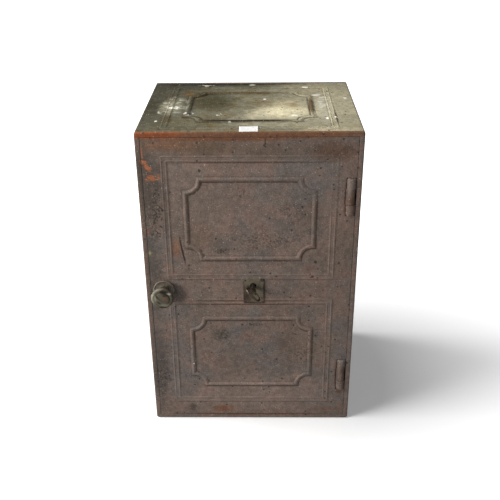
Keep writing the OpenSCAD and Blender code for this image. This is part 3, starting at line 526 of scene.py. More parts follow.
FRONT_STAINS_AND_SHADE = (
    # The dark left side, and the warm and pale stretches of the rails
    on_front("#3c332a", (-189, 540), (46, 130), 0.95, 0.75),
    on_front("#463e38", (-190, 350), (32, 170), 0.85, 0.8),
    on_front("#423a35", (-188, 140), (32, 160), 0.85, 0.8),
    on_front("#5c5047", (-120, 480), (110, 130), 0.5, 0.9),
    on_front("#54402f", (-90, 608), (150, 26), 0.85, 0.9),
    on_front("#57483b", (60, 600), (150, 26), 0.65, 0.9),
    on_front("#77665c", (10, 60), (230, 84), 0.65, 0.9),
    on_front("#77665d", (115, 24), (80, 22), 0.6, 0.9),
    # Rust along the top edge
    on_front("#63452f", (-150, 612), (66, 15), 0.85, 0.9),
    on_front("#5e3c24", (0, 632), (300, 11), 0.95, 0.5),
    on_front("#703814", (-175, 631), (78, 9.5), 1.0, 0.6),
    on_front("#5f391e", (-60, 622), (220, 5), 0.85, 0.8),
    on_front("#523c2d", (150, 600), (60, 28), 0.8, 0.8),
    # Dark lines where the rails meet the mouldings, of dirt and of painted shade under the frame lines, and
    # the worn left edge
    on_front("#4a423c", (-176, 575), (14, 22), 0.7, 0.8),
    # Dirt and painted shade: dark lines under the lower feet of the frame lines
    on_front("#3f2619", (-10, 292), (156, 1.7), 0.75, 0.6),
    on_front("#3f2619", (-10, 284), (150, 1.7), 0.8, 0.6),
    on_front("#4a3020", (0, 579), (152, 1.8), 0.75, 0.6),
    on_front("#5f4a3d", (-199, 330), (5, 320), 0.6, 0.8),
    on_front("#453b35", (-156, 470), (7, 118), 0.5, 0.7),
    # Patches of rust at the upper left
    on_front(RUST, (-191, 597), (3, 14), 0.5, 0.8),
    on_front(RUST, (-186, 575), (23, 9), 0.85, 0.4, 6.0, turn=64),
    on_front(RUST, (-184, 572), (15, 5), 0.95, 0.6, turn=58),
    on_front(RUST, (-175, 550), (19, 10), 0.85, 0.4, 6.0),
    on_front(RUST, (-177, 550), (10, 7), 0.95, 0.6, turn=20),
    # Cracks in the paint beside the upper panel
    on_front(CRACK, (-174.5, 514), (8, 1.3), 0.9, 0.6, turn=78),
    on_front(CRACK, (-164, 491), (10, 1.8), 0.95, 0.6, turn=48),
    on_front(CRACK, (-160.5, 486), (4, 3.5), 0.95, 0.6),
    on_front(CRACK, (-173, 482), (7, 1.5), 0.95, 0.6, turn=58),
    on_front(CRACK, (-177, 464), (12, 1.5), 0.95, 0.6, turn=109),
    on_front(CRACK, (-173.5, 442), (8, 1.5), 0.95, 0.6, turn=45),
    # Red and green specks on the left edge
    on_front("#6a3a28", (-190, 444), (3, 8), 0.8, 0.5),
    on_front("#6f7048", (-190, 398), (4, 6), 0.8, 0.6),
    # Dull patches on the panels and the rails
    on_front("#595551", (9, 268), (22, 16), 0.6, 0.6),
    on_front("#504740", (110, 470), (50, 60), 0.55, 0.9),
    on_front("#4d453f", (-52, 412), (36, 30), 0.55, 0.9),
    on_front("#5a4536", (-95, 430), (40, 40), 0.4, 0.9),
    on_front("#55473e", (69, 193), (34, 36), 0.6, 0.9),
    on_front("#4c443b", (-60, 213), (30, 26), 0.65, 0.9),
    on_front("#514a41", (130, 159), (14, 14), 0.5, 0.9),
    on_front("#4f4c4a", (129, 212), (16, 30), 0.5, 0.9),
    on_front("#6e4b35", (-139, 408), (13, 32), 0.65, 0.7),
    # Rust along the foot
    on_front("#6b4430", (-59, 25), (34, 13), 0.8, 0.8),
    on_front("#6b4a38", (150, 24), (40, 10), 0.5, 0.9),
    on_front("#43362d", (-125, 29), (12, 13), 0.75, 0.8),
    on_front("#4d2c1e", (0, 11), (230, 3.5), 0.85, 0.8),
    on_front("#573425", (183, 73), (14, 9), 0.75, 0.8),
    # Dark strips beside the hinges
    on_front("#452e22", (172.5, 115), (2.6, 43), 0.8, 0.6),
    on_front("#452e22", (172.5, 512), (2.6, 43), 0.8, 0.6),
    # Paint that has come off in crumbs
    on_front("#2b231e", (-170, 482), (9, 66), 1.0, 0.3, 5.0),
    on_front("#2b231e", (-184, 470), (16, 90), 0.7, 0.6, 4.0),
    on_front("#433a35", (-53, 402), (14, 8), 0.7, 0.8),
    on_front("#241c18", (-53, 402), (16, 8), 1.0, 0.4, 3.0),
    on_front(FLAKED, (-58, 211), (18, 16), 0.9, 0.4, 4.0),
    on_front(FLAKED, (9, 236), (24, 4), 0.9, 0.5, 3.5),
    on_front(FLAKED, (-20, 520), (40, 24), 0.7, 0.8, 4.5),
    on_front(FLAKED, (80, 480), (60, 50), 0.6, 0.9, 4.5),
    on_front(FLAKED, (30, 425), (110, 34), 0.6, 0.9, 4.0),
    on_front(FLAKED, (110, 165), (40, 40), 0.6, 0.9, 4.0),
    on_front("#2e2621", (-184, 110), (20, 60), 0.9, 0.7, 5.0),
    # Deep pits
    on_front(PITTED, (-90, 564), (3, 4), 0.95, 0.5),
    on_front(PITTED, (96, 493), (2.6, 3), 0.95, 0.5),
    on_front(PITTED, (-64, 428), (3, 3), 0.9, 0.5),
    on_front(PITTED, (85, 235), (3, 3), 0.95, 0.5),
    on_front("#40241b", (119, 346), (4, 4), 0.95, 0.5),
    on_front(PITTED, (124, 378), (4, 4), 0.95, 0.5),
    # A run on the top rail, and the scratch beside the upper panel
    on_front("#2b1d18", (28, 616), (1.6, 12), 1.0, 0.5),
    on_front("#281a15", (-128, 402), (38, 2.6), 1.0, 0.5, turn=81),
    # Pale chips on the case's right edge and the lower panel
    Blot("#b3aea6", (203, FRONT_Y, 405), (4, 12, 7), 0.9, 0.6),
    on_front("#d8d4cc", (-117, 143), (1.6, 1.6), 0.9, 0.4),
)

TOP_STAINS_AND_SHEEN = (
    # Broad tones: darker at the left and the back, and pale at the right, where a painted reflection of the
    # light lies on paler paint
    on_top("#25231a", (-235, 20), (235, 400), 0.92, 0.95),
    # Painted reflection of the light on paler paint at the right
    on_top("#a19a81", (175, -10), (200, 280), 0.9, 0.9),
    on_top("#0d0c07", (-120, 195), (250, 140), 0.97, 0.9),
    on_top("#0d0b07", (-50, 166), (215, 42), 0.9, 0.7),
    # Patches within them; the pale ones over the middle and the right are part of the painted reflection
    on_top("#8d8770", (40, -118), (120, 46), 0.7, 0.9),
    on_top("#332f1e", (-72, 18), (66, 84), 0.85, 0.75),
    on_top("#2f2a1a", (-100, 70), (60, 26), 0.6, 0.8),
    on_top("#57523d", (-120, -130), (60, 40), 0.5, 0.9),
    on_top("#45402e", (-58, -104), (54, 40), 0.6, 0.9),
    on_top("#aba48c", (10, -78), (44, 40), 0.6, 0.9),
    on_top("#b3ae9a", (136, -20), (30, 130), 0.6, 0.9),
    on_top("#b3a88c", (150, -155), (80, 30), 0.7, 0.9),
    on_top("#84806a", (-152, -14), (30, 74), 0.85, 0.8),
    # Painted reflection: the brightest part of the sheen
    on_top("#d0c6a5", (64, -50), (86, 60), 0.97, 0.85),
    on_top("#b9ad8b", (70, 8), (44, 34), 0.6, 0.9),
    on_top("#7a6039", (84, -8), (12, 22), 0.55, 0.9),
    # Rust beside the rear mouldings, and patches on the frame
    on_top("#57401f", (-20, 84), (100, 9), 0.7, 0.8),
    on_top("#6b4a22", (-124, 74), (16, 12), 0.7, 0.8),
    on_top("#7c6a48", (130, 60), (22, 36), 0.5, 0.9),
    on_top("#4a3a20", (-152, -84), (14, 20), 0.6, 0.9),
    on_top("#8b8a7c", (40, 118), (50, 14), 0.5, 0.9),
    on_top("#6a6956", (-60, 116), (50, 14), 0.5, 0.9),
    # Paint bleached and worn off in crumbs
    on_top("#c9c6b8", (140, 30), (14, 80), 0.8, 0.8, 13.0),
    on_top("#b9b6a8", (-146, -8), (34, 70), 0.6, 0.7, 15.0),
    on_top("#a09c8a", (40, -100), (150, 70), 0.35, 0.9, 19.0),
    on_top("#4f4a36", (30, 20), (170, 120), 0.35, 0.9, 17.0),
    # Darker at the back, and dark lines beside the mouldings: brown dirt at the back and the right, and at
    # the front a black line of painted shade
    on_top("#15120b", (-20, 156), (185, 28), 0.75, 0.8),
    on_top("#4a4030", (159, -82), (4, 52), 0.8, 0.7),
    on_top("#2b2618", (20, 122), (70, 20), 0.45, 0.9),
    on_top("#46331a", (0, 78), (112, 4), 0.8, 0.6),
    on_top("#46331a", (117, -12), (7, 82), 0.9, 0.6),
    # Painted shade: the black line along the front of the bead
    on_top("#191109", (-4, -105), (112, 3.6), 0.95, 0.5),
    # Bright chips
    on_top("#eae8de", (-115, -60), (12, 16), 1.0, 0.5, 8.0),
    on_top("#dedccf", (-145, -21), (12, 14), 1.0, 0.5, 8.0),
    on_top("#d4d1c3", (-167, -45), (9, 16), 0.9, 0.6, 8.0),
    on_top("#e4e1d6", (-58, -63), (8, 9), 0.95, 0.5, 8.0),
    on_top("#dedbcf", (28, 35), (4, 6), 0.8, 0.6),
    on_top("#e9e4cf", (83, -72), (9, 9), 0.9, 0.7),
    on_top("#efede6", (142, -89), (4, 6), 1.0, 0.5),
    on_top("#e4e1d6", (158, -83), (3.5, 6), 0.95, 0.5),
    on_top("#dad7cc", (187, 41), (4, 7), 0.8, 0.5),
    on_top("#d8d5ca", (112, 120), (7, 8), 0.9, 0.5),
    on_top("#d8d5ca", (129, 62), (9, 9), 0.8, 0.6),
    on_top("#c4c0b2", (-94, 134), (24, 9), 0.7, 0.6, 9.0),
    on_top("#a9a697", (3, 141), (9, 7), 0.8, 0.6),
    on_top("#c9c6b8", (-171, -103), (3.5, 5), 0.9, 0.5),
    on_top("#c9c6b8", (-36, -110), (4, 5), 0.8, 0.5),
)

# Dirt and painted shade of the key round the keyhole, and the blackened rim at the right
PLATE_STAINS_AND_SHADE = (
    # Dirt and painted shade of the key, round the keyhole
    Blot("#2a2019", (0, -168, 318), (16, 14, 19), 0.9, 0.7),
    Blot("#2b2119", (-8, -168, 301), (17, 14, 18), 0.92, 0.8),
    Blot("#2b211a", (27, -168, 316), (4.5, 14, 34), 0.95, 0.6),
    Blot("#2f251d", (6, -168, 288), (28, 14, 4), 0.9, 0.7),
    Blot("#251c16", (23, -168, 340), (7, 14, 6), 0.95, 0.6),
    Blot("#2f251d", (-14, -168, 316), (3.5, 14, 34), 0.8, 0.7),
)

# The round's light and dark bands, the hollow of its face and a reddish spot; the pale left flank is painted
# light, the pale spot at the upper right a painted highlight and the black underside painted shade
KNOB_TARNISH_AND_LIGHT = (
    # Painted light: the knob's lit left flank
    Blot("#7c7969", (-185, -200, 320), (11, 20, 19), 0.85, 0.8),
    Blot("#77735f", (-165, -204, 304), (14, 10, 7), 0.8, 0.8),
    # Painted highlight at the upper right of the rim
    Blot("#a29f8e", (-154, -203, 329), (7, 8, 4), 0.7, 0.8),
    Blot("#1d1610", (-164, -203, 334), (11, 12, 6), 0.95, 0.6),
    Blot("#241c14", (-162, -204, 327), (6, 8, 4), 0.85, 0.7),
    Blot("#2b2319", (-176, -204, 323), (9, 9, 3.2), 0.95, 0.7, turn=45),
    Blot("#2b2319", (-174, -204, 311), (8, 9, 3), 0.9, 0.7, turn=40),
    Blot("#40382b", (-171, -204, 317), (9, 9, 2.5), 0.7, 0.8, turn=42),
    # Painted shade under the knob
    Blot("#0e0a08", (-165, -193, 291), (32, 26, 14), 1.0, 0.4),
    Blot("#744334", (-162, -205, 319), (5, 6, 4.5), 0.8, 0.8),
)


class Finish(Enum):
    """The finishes of the box's pieces."""

    # Brown paint gone thin over dark iron: mottled and dull, with dirt and painted shade beside each moulding
    FRONT = Casting(
        "old_painted_cast_iron_front",
        "#64564c",
        "#67544a",
        "#5f5651",
        crevice="#2f211a",
        pits=0.15,
        blots=FRONT_STAINS_AND_SHADE,
    )
    # Khaki paint without shine of its own, darker towards the left and the back, with a painted reflection of
    # the light on paler paint at the right
    TOP = Casting(
        "worn_khaki_paint_top",
        "#686350",
        "#5f5238",
        "#6f6c5a",
        crevice="#1d150d",
        speck="#c2bca5",
        roughness=0.6,
        gloss=0.02,
        blots=TOP_STAINS_AND_SHEEN,
    )
    # The front's brown paint where less has happened to it: darker and more even
    SIDE = Casting(
        "worn_brown_paint_side",
        "#5b4f47",
        "#5d4b40",
        "#57504a",
        crevice="#2b211b",
        cloud=0.14,
        pits=0.2,
    )
    # Iron that was never painted: darker, rough and matt
    INSIDE = Casting("bare_cast_iron_inside", "#4a423c", "#54402f", "#45423f", roughness=0.75)
    # Rough castings at the back: dark brown and full of pits
    BACK = Casting("rough_cast_iron_back", "#524841", "#55453a", "#4d4742", crevice="#2b211b", pits=0.4)
    # Worn paint on round iron: grey-brown, with darker brown patches like old rust
    HINGE = Casting("old_cast_iron_hinge", "#605249", "#503b2d", "#5f554f")
    # Brass nearly black round the keyhole with dirt and painted shade of the key, so that only its rim looks
    # yellowish
    PLATE = Casting(
        "dull_brass_plate",
        "#5b5244",
        "#463629",
        "#625c4c",
        crevice="#2b221a",
        roughness=0.5,
        specks=0.0,
        gloss=0.25,
        blots=PLATE_STAINS_AND_SHADE,
    )
    # Brass dulled by hands: olive on the round, dark in the hollow, with a soft shine; painted light on its
    # left flank, a painted highlight at the upper right and painted shade below
    KNOB = Casting(
        "dull_brass_knob",
        "#514a3d",
        "#3d3227",
        "#504c3f",
        crevice="#2b221a",
        roughness=0.45,
        grain=0.12,
        specks=0.0,
        pits=0.1,
        gloss=0.22,
        blots=KNOB_TARNISH_AND_LIGHT,
    )
    # Flat bar, dark and plain
    STOP = Casting("dark_iron_bar", "#3f3934", "#4c3929", "#3a3836", roughness=0.6)
    # Iron blackened with oil: a dark grey with a faint sheen
    LOCK = Metal("oiled_black_iron", "#3a3836", "#4a3628", 0.5, 0.6, 14.0, 0.4)
    # A flat brass ring that has gone grey-brown, a little smoother than the iron round it
    ROSE = Casting(
        "dull_brass_rose",
        "#625a4e",
        "#51473b",
        "#6c685e",
        crevice="#2b221a",
        roughness=0.5,
        gloss=0.3,
    )
    # Brass out of reach of any cloth: brown, with a dull yellow glint
    BRASS = Metal("aged_brass", "#5d5443", "#2c231a", 0.38, 0.8, 6.0, 0.5)
    # A key black with age, which glints where the hand has rubbed it
    KEY = Metal("blackened_brass_key", "#564a3a", "#1c1510", 0.3, 0.9, 5.0, 0.6)
    # Bright steel gone dull: grey, with patches of brown
    STEEL = Metal("dulled_steel", "#7d7c78", "#5c4a3b", 0.42, 0.9, 9.0, 0.35)
    # Small dark screws with a soft sheen
    SCREW = Metal("blackened_steel", "#4a4744", "#4f3a2b", 0.5, 0.8, 4.0, 0.5)
    # Iron pins, the darkest dots on the brass plate
    PIN = Metal("dark_iron_pin", "#2e2a26", "#4a3527", 0.55, 0.7, 3.0, 0.5)


class Dresser:
    """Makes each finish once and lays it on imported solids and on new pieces."""

    def __init__(self) -> None:
        """Starts with no material made."""
        self._made: dict[Finish, bpy.types.Material] = {}

    def material(self, finish: Finish) -> bpy.types.Material:
        """Gives out the material of a finish, which it makes on first use.

        Args:
            finish: the finish.

        Returns:
            Its one material.
        """
        if finish not in self._made:
            self._made[finish] = finish.value.material()
        return self._made[finish]

    def dress_node(self, node: str, finish: Finish) -> None:
        """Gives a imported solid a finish.

        Args:
            node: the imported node's name.
            finish: what it is dressed in.
        """
        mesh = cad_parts[node].data
        mesh.materials.clear()
        mesh.materials.append(self.material(finish))
        LOG.info("%s: %s", node, finish.value.name)


@dataclass
class Surface:
    """One or more closed shells of faces.

    Attributes:
        points: places of the vertices in mm, one row each.
        faces: lists of vertex numbers.
        finishes: which finish each face takes.
        dirt_and_shade: how dark each vertex is with dirt and painted shade, from 0 to 1.
    """

    points: np.ndarray
    faces: list
    finishes: list[Finish]
    dirt_and_shade: np.ndarray

    def outward(self) -> "Surface":
        """Turns the faces round if they look inwards.

        The faces fan into triangles a, b, c, and six times the volume inside is the sum of a . (b x c).

        Returns:
            The surface itself.
        """
        total = 0.0
        for size in {len(face) for face in self.faces}:
            corners = self.points[np.array([face for face in self.faces if len(face) == size])]
            first = corners[:, 0]
            for k in range(1, size - 1):
                total += np.einsum("ij,ij->i", first, np.cross(corners[:, k], corners[:, k + 1])).sum()
        if total < 0:
            self.faces = [face[::-1] for face in self.faces]
        return self

    @staticmethod
    def joined(shells: list["Surface"]) -> "Surface":
        """Gathers several shells into one surface.

        Args:
            shells: the closed shells.

        Returns:
            One surface with all their faces.
        """
        faces, finishes, start = [], [], 0
        for shell in shells:
            faces += [[start + v for v in face] for face in shell.faces]
            finishes += shell.finishes
            start += len(shell.points)
        return Surface(
            np.concatenate([s.points for s in shells]),
            faces,
            finishes,
            np.concatenate([s.dirt_and_shade for s in shells]),
        )

    def to_object(self, name: str, dresser: Dresser, sharp_deg: float = 38.0) -> bpy.types.Object:
        """Makes a Blender object in metres.

        Args:
            name: the object's name.
            dresser: where its materials come from.
            sharp_deg: angle between two faces from which their edge stays sharp.

        Returns:
            The object, linked to the scene.
        """
        mesh = new_mesh(name, self.points, self.faces)
        used = list(dict.fromkeys(self.finishes))
        for finish in used:
            mesh.materials.append(dresser.material(finish))
        slots = np.array([used.index(finish) for finish in self.finishes], np.int32)
        mesh.polygons.foreach_set("material_index", slots)
        mesh.polygons.foreach_set("use_smooth", np.ones(len(slots), bool))
        mesh.attributes.new(DIRT_AND_SHADE, "FLOAT", "POINT").data.foreach_set("value", self.dirt_and_shade.astype(np.float32))
        mesh.set_sharp_from_angle(angle=math.radians(sharp_deg))
        mesh.validate()
        mesh.update()
        LOG.info("%s: %d faces", name, len(mesh.polygons))
        return new_object(name, mesh)


def grid_faces(rows: int, columns: int, rows_close: bool) -> list:
    """Numbers the quads of a grid whose columns run round a closed loop.

    Args:
        rows: number of rows of vertices.
        columns: number of vertices in each row.
        rows_close: whether the last row joins the first one.

    Returns:
        The quads as lists of vertex numbers, row by row.
    """
    i, j = np.meshgrid(np.arange(rows if rows_close else rows - 1), np.arange(columns), indexing="ij")
    down, along = (i + 1) % rows, (j + 1) % columns
    quads = np.stack([i * columns + j, i * columns + along, down * columns + along, down * columns + j], -1)
    return quads.reshape(-1, 4).tolist()


def four_corners(quarter: np.ndarray) -> np.ndarray:
    """Mirrors the points of the upper right corner into all four corners.

    Args:
        quarter: points of that corner, clockwise.

    Returns:
        The points of the four corners, clockwise.
    """
    order = (((1, 1), 1), ((1, -1), -1), ((-1, -1), 1), ((-1, 1), -1))
    return np.concatenate([quarter[::flip] * signs for signs, flip in order])


def quarter_round(radius: float, steps: int) -> list[tuple[float, float]]:
    """Works out a rounded edge, radius times (1 - sin t) and radius times (1 - cos t) over a quarter turn t.

    Args:
        radius: radius of the edge, in mm.
        steps: steps round it.

    Returns:
        The distances from the side and from the face, beginning on the face.
    """
    turn = np.linspace(0, math.pi / 2, steps + 1)
    return [(radius * (1 - math.sin(t)), radius * (1 - math.cos(t))) for t in turn]


@dataclass(frozen=True)
class Outline:
    """A rectangle with round corners in a plane, and the curves that lie inside it.

    Attributes:
        half_u: half its width.
        half_v: half its height.
        corner: radius of its corners.
        centre_v: height of its middle.
        arc_steps: steps along each corner.
    """

    half_u: float
    half_v: float
    corner: float
    centre_v: float
    arc_steps: int = 6

    def curve(self, inset: float) -> np.ndarray:
        """Works out the curve at a distance inside the outline.

        Each corner is a quarter circle whose radius shrinks by the inset, down to a sharp corner.

        Args:
            inset: distance from the outline, in mm.

        Returns:
            Points in order round the curve, from the right end of the top side, clockwise.
        """
        radius = max(self.corner - inset, 0.0)
        turn = np.linspace(0, math.pi / 2, self.arc_steps + 1)
        quarter = np.stack([np.sin(turn), np.cos(turn)], -1) * radius
        reach = np.array([self.half_u - inset - radius, self.half_v - inset - radius])
        return four_corners(quarter + reach) + (0.0, self.centre_v)

    def layers(self, rings: list[tuple[float, float]]) -> np.ndarray:
        """Lays out the curve of each ring at its depth.

        Args:
            rings: inset and depth of each ring, in mm.

        Returns:
            Places by ring, point and coordinate.
        """
        rows = []
        for inset, depth in rings:
            curve = self.curve(inset)
            rows.append(np.stack([curve[:, 0], np.full(len(curve), depth), curve[:, 1]], -1))
        return np.stack(rows)

    def side_of(self, column: np.ndarray) -> np.ndarray:
        """Returns the side after each point: 0 right, 1 base, 2 left, 3 top. A corner is split in half."""
        per_corner = self.arc_steps + 1
        return ((column - per_corner // 2) // per_corner) % 4


def soft_bump(across: np.ndarray, half_width: float, height: float) -> np.ndarray:
    """Returns a soft bead: height times (1 - x squared) squared, where x is across over half_width."""
    share = np.clip(1 - (across / half_width) ** 2, 0, None)
    return height * share**2


@dataclass(frozen=True)
class Moulding:
    """The mouldings of one panel: a frame of two fine lines on a low band, and a bead with scalloped corners.

    Attributes:
        width: width over the middle lines of the frame.
        height: height over them.
        pitch: distance between the two lines.
        reed_r: half the width of a line.
        reed_h: height of a line.
        band_h: height of the band between the lines.
        inset: distance of the bead from the frame, at the sides and at top and bottom.
        notch: radius of the scalloped corners.
        bead_r: half the width of the bead.
        bead_h: height of the bead.
        bury: depth to which the strips reach under the surface.
        skirt: width of the thin edge on each side that carries the dirt and painted shade.
        skirt_h: height of that edge.
        grime_and_shade: how dark the dirt and painted shade at its outer and inner foot are, from 0 to 1.
        shade_side: painted shade, how much darker it is at feet that look along this direction, away from the
            light.
        clean: how much of the dirt and painted shade lies on the frame.
        worn: place and radius of a worn spot, and the share of the height left in it.
        step: length of the pieces the strips are divided into.
    """

    width: float
    height: float
    pitch: float = 8.0
    reed_r: float = 2.8
    reed_h: float = 1.1
    band_h: float = 0.45
    inset: tuple[float, float] = (35.5, 39.5)
    notch: float = 26.0
    bead_r: float = 5.4
    bead_h: float = 2.3
    bury: float = 1.0
    skirt: float = 2.2
    skirt_h: float = 0.04
    grime_and_shade: tuple[float, float] = (0.3, 0.3)
    # Painted shade: feet that look right and down, away from the light, get this much more of the dark
    # crevice colour
    shade_side: tuple[float, float] = (0.65, -0.95)
    clean: float = 0.45
    worn: tuple[float, float, float, float] = (0.0, 0.0, 1.0, 1.0)
    step: float = 6.0

    # Points across each section and across a skirt
    FRAME_POINTS = 33
    BEAD_POINTS = 21
    SKIRT_POINTS = 3
    # The dirt and painted shade have faded out at the moulding's height divided by this
    DIRT_AND_SHADE_FADE = 2.2
    # The ripple of a hand-made pattern: its share of the height, and its two lengths in mm per radian
    RIPPLE = 0.14
    RIPPLE_MM = (17, 29)

    def frame_path(self) -> np.ndarray:
        """Returns the frame's middle line, clockwise, with points along its sides."""
        return self._divided(four_corners(np.array([(self.width / 2, self.height / 2)])))

    def bead_path(self, steps: int = 14) -> np.ndarray:
        """Works out the bead's middle line: straight sides, and quarter circles about its outer corners.

        Args:
            steps: steps along each quarter circle.

        Returns:
            Points in order, clockwise.
        """
        half = np.array([self.width / 2, self.height / 2]) - np.array(self.inset)
        turn = np.linspace(0, math.pi / 2, steps + 1)
        quarter = half - self.notch * np.stack([np.cos(turn), np.sin(turn)], -1)
        return self._divided(four_corners(quarter))

    def _divided(self, path: np.ndarray) -> np.ndarray:
        """Divides the long sides of a closed path into pieces of about one step.

        Args:
            path: the path's points in order.

        Returns:
            The points of the divided path.
        """
        pieces = []
        for start, stop in zip(path, np.roll(path, -1, 0)):
            count = max(1, round(float(np.linalg.norm(stop - start)) / self.step))
            share = np.arange(count)[:, None] / count
            pieces.append(start + share * (stop - start))
        return np.concatenate(pieces)

    def _left(self, path: np.ndarray) -> np.ndarray:
        """Works out how much of the height is left at each point: a slow ripple, and less in the worn spot.

        The ripple is 0.86 + 0.14 sin(x/17 + 2 sin(z/29)), and the worn spot takes 1 - left times
        exp(-(distance / radius) squared) away.

        Args:
            path: points on the panel, in mm from its middle.

        Returns:
            The share of the height at each point.
        """
        x, z, radius, left = self.worn
        along_x, along_z = self.RIPPLE_MM
        wave = np.sin(path[:, 0] / along_x + 2 * np.sin(path[:, 1] / along_z))
        ripple = 1 - self.RIPPLE + self.RIPPLE * wave
        gap = ((path - (x, z)) ** 2).sum(1) / radius**2
        return ripple * (1 - (1 - left) * np.exp(-gap))

    def frame_profile(self) -> tuple[np.ndarray, np.ndarray]:
        """Works out the frame's section: two fine lines, with a low band between their middles.

        Returns:
            A closed loop of distances and heights, and its dirt and painted shade.
        """
        reach = self.pitch / 2 + self.reed_r
        across = np.linspace(-reach, reach, self.FRAME_POINTS)
        reed = soft_bump(np.abs(across) - self.pitch / 2, self.reed_r, self.reed_h)
        band = np.where(np.abs(across) < self.pitch / 2, self.band_h, 0)
        return self._section(across, np.maximum(reed, band))

    def bead_profile(self) -> tuple[np.ndarray, np.ndarray]:
        """Returns the bead's section, a closed loop of distances and heights, and its dirt and painted shade.
        """
        across = np.linspace(-self.bead_r, self.bead_r, self.BEAD_POINTS)
        return self._section(across, soft_bump(across, self.bead_r, self.bead_h))

    def _section(self, across: np.ndarray, height: np.ndarray) -> tuple[np.ndarray, np.ndarray]:
        """Closes a section with its skirts and its underside, and works out where it takes dirt and painted
        shade.

        Dirt and painted shade are full at the foot of the moulding, and fade over the skirt and up the
        moulding as
        1 - DIRT_AND_SHADE_FADE times the share of the height.

        Args:
            across: distances from the middle line.
            height: the height at each of them.

        Returns:
            The loop and its dirt and painted shade.
        """
        reach = across[-1]
        skirt = np.linspace(0, 1, self.SKIRT_POINTS + 1)[1:]
        edge = np.full(self.SKIRT_POINTS, self.skirt_h)
        left = np.stack([-reach - self.skirt * skirt[::-1], edge], -1)
        right = np.stack([reach + self.skirt * skirt, edge], -1)
        ridge = np.stack([across, np.maximum(height, self.skirt_h)], -1)
        under = np.array([(reach + self.skirt, -self.bury), (-reach - self.skirt, -self.bury)])
        fade = 1 - skirt
        foot = np.clip(1 - self.DIRT_AND_SHADE_FADE * height / height.max(), 0, 1)
        return np.concatenate([left, ridge, right, under]), np.concatenate([fade[::-1], foot, fade, (0, 0)])

    def shells(self, origin: tuple, across: tuple, along: tuple, out: tuple, finish: Finish) -> list[Surface]:
        """Carries both sections along their paths on a flat face.

        A point of the strip is the path's point, plus the distance times the mitred side vector, plus the
        height times the face's normal.

        Args:
            origin: the panel's middle on the face, in mm.
            across: direction of the panel's width.
            along: direction of its height.
            out: direction away from the face.
            finish: what the strips are dressed in.

        Returns:
            The two closed strips.
        """
        origin, across, along, out = (np.array(v, float) for v in (origin, across, along, out))
        made = []
        for path, (loop, dirt_and_shade), share in (
            (self.frame_path(), self.frame_profile(), self.clean),
            (self.bead_path(), self.bead_profile(), 1.0),
        ):
            step = np.roll(path, -1, 0) - path
            step /= np.linalg.norm(step, axis=1, keepdims=True)
            normal = np.stack([-step[:, 1], step[:, 0]], -1)
            before = np.roll(normal, 1, 0)
            side = (normal + before) / (1 + (normal * before).sum(1, keepdims=True))
            flat = path[:, None] + loop[None, :, :1] * side[:, None]
            rise = loop[None, :, 1:] * np.where(loop[:, 1:] > 0, self._left(path)[:, None, None], 1.0)
            points = origin + flat[..., :1] * across + flat[..., 1:] * along + rise * out
            faces = grid_faces(len(path), len(loop), True)
            # Painted shade: the feet that look along shade_side, away from the light, are darkened more
            shade_facing = side @ np.array(self.shade_side)
            outer = np.clip(self.grime_and_shade[0] + np.maximum(shade_facing, 0), 0, 1)[:, None]
            inner = np.clip(self.grime_and_shade[1] + np.maximum(-shade_facing, 0), 0, 1)[:, None]
            grime_and_shade = share * dirt_and_shade[None] * np.where(loop[None, :, 0] > 0, outer, inner)
            made.append(Surface(points.reshape(-1, 3), faces, [finish] * len(faces), grime_and_shade.ravel()).outward())
        return made


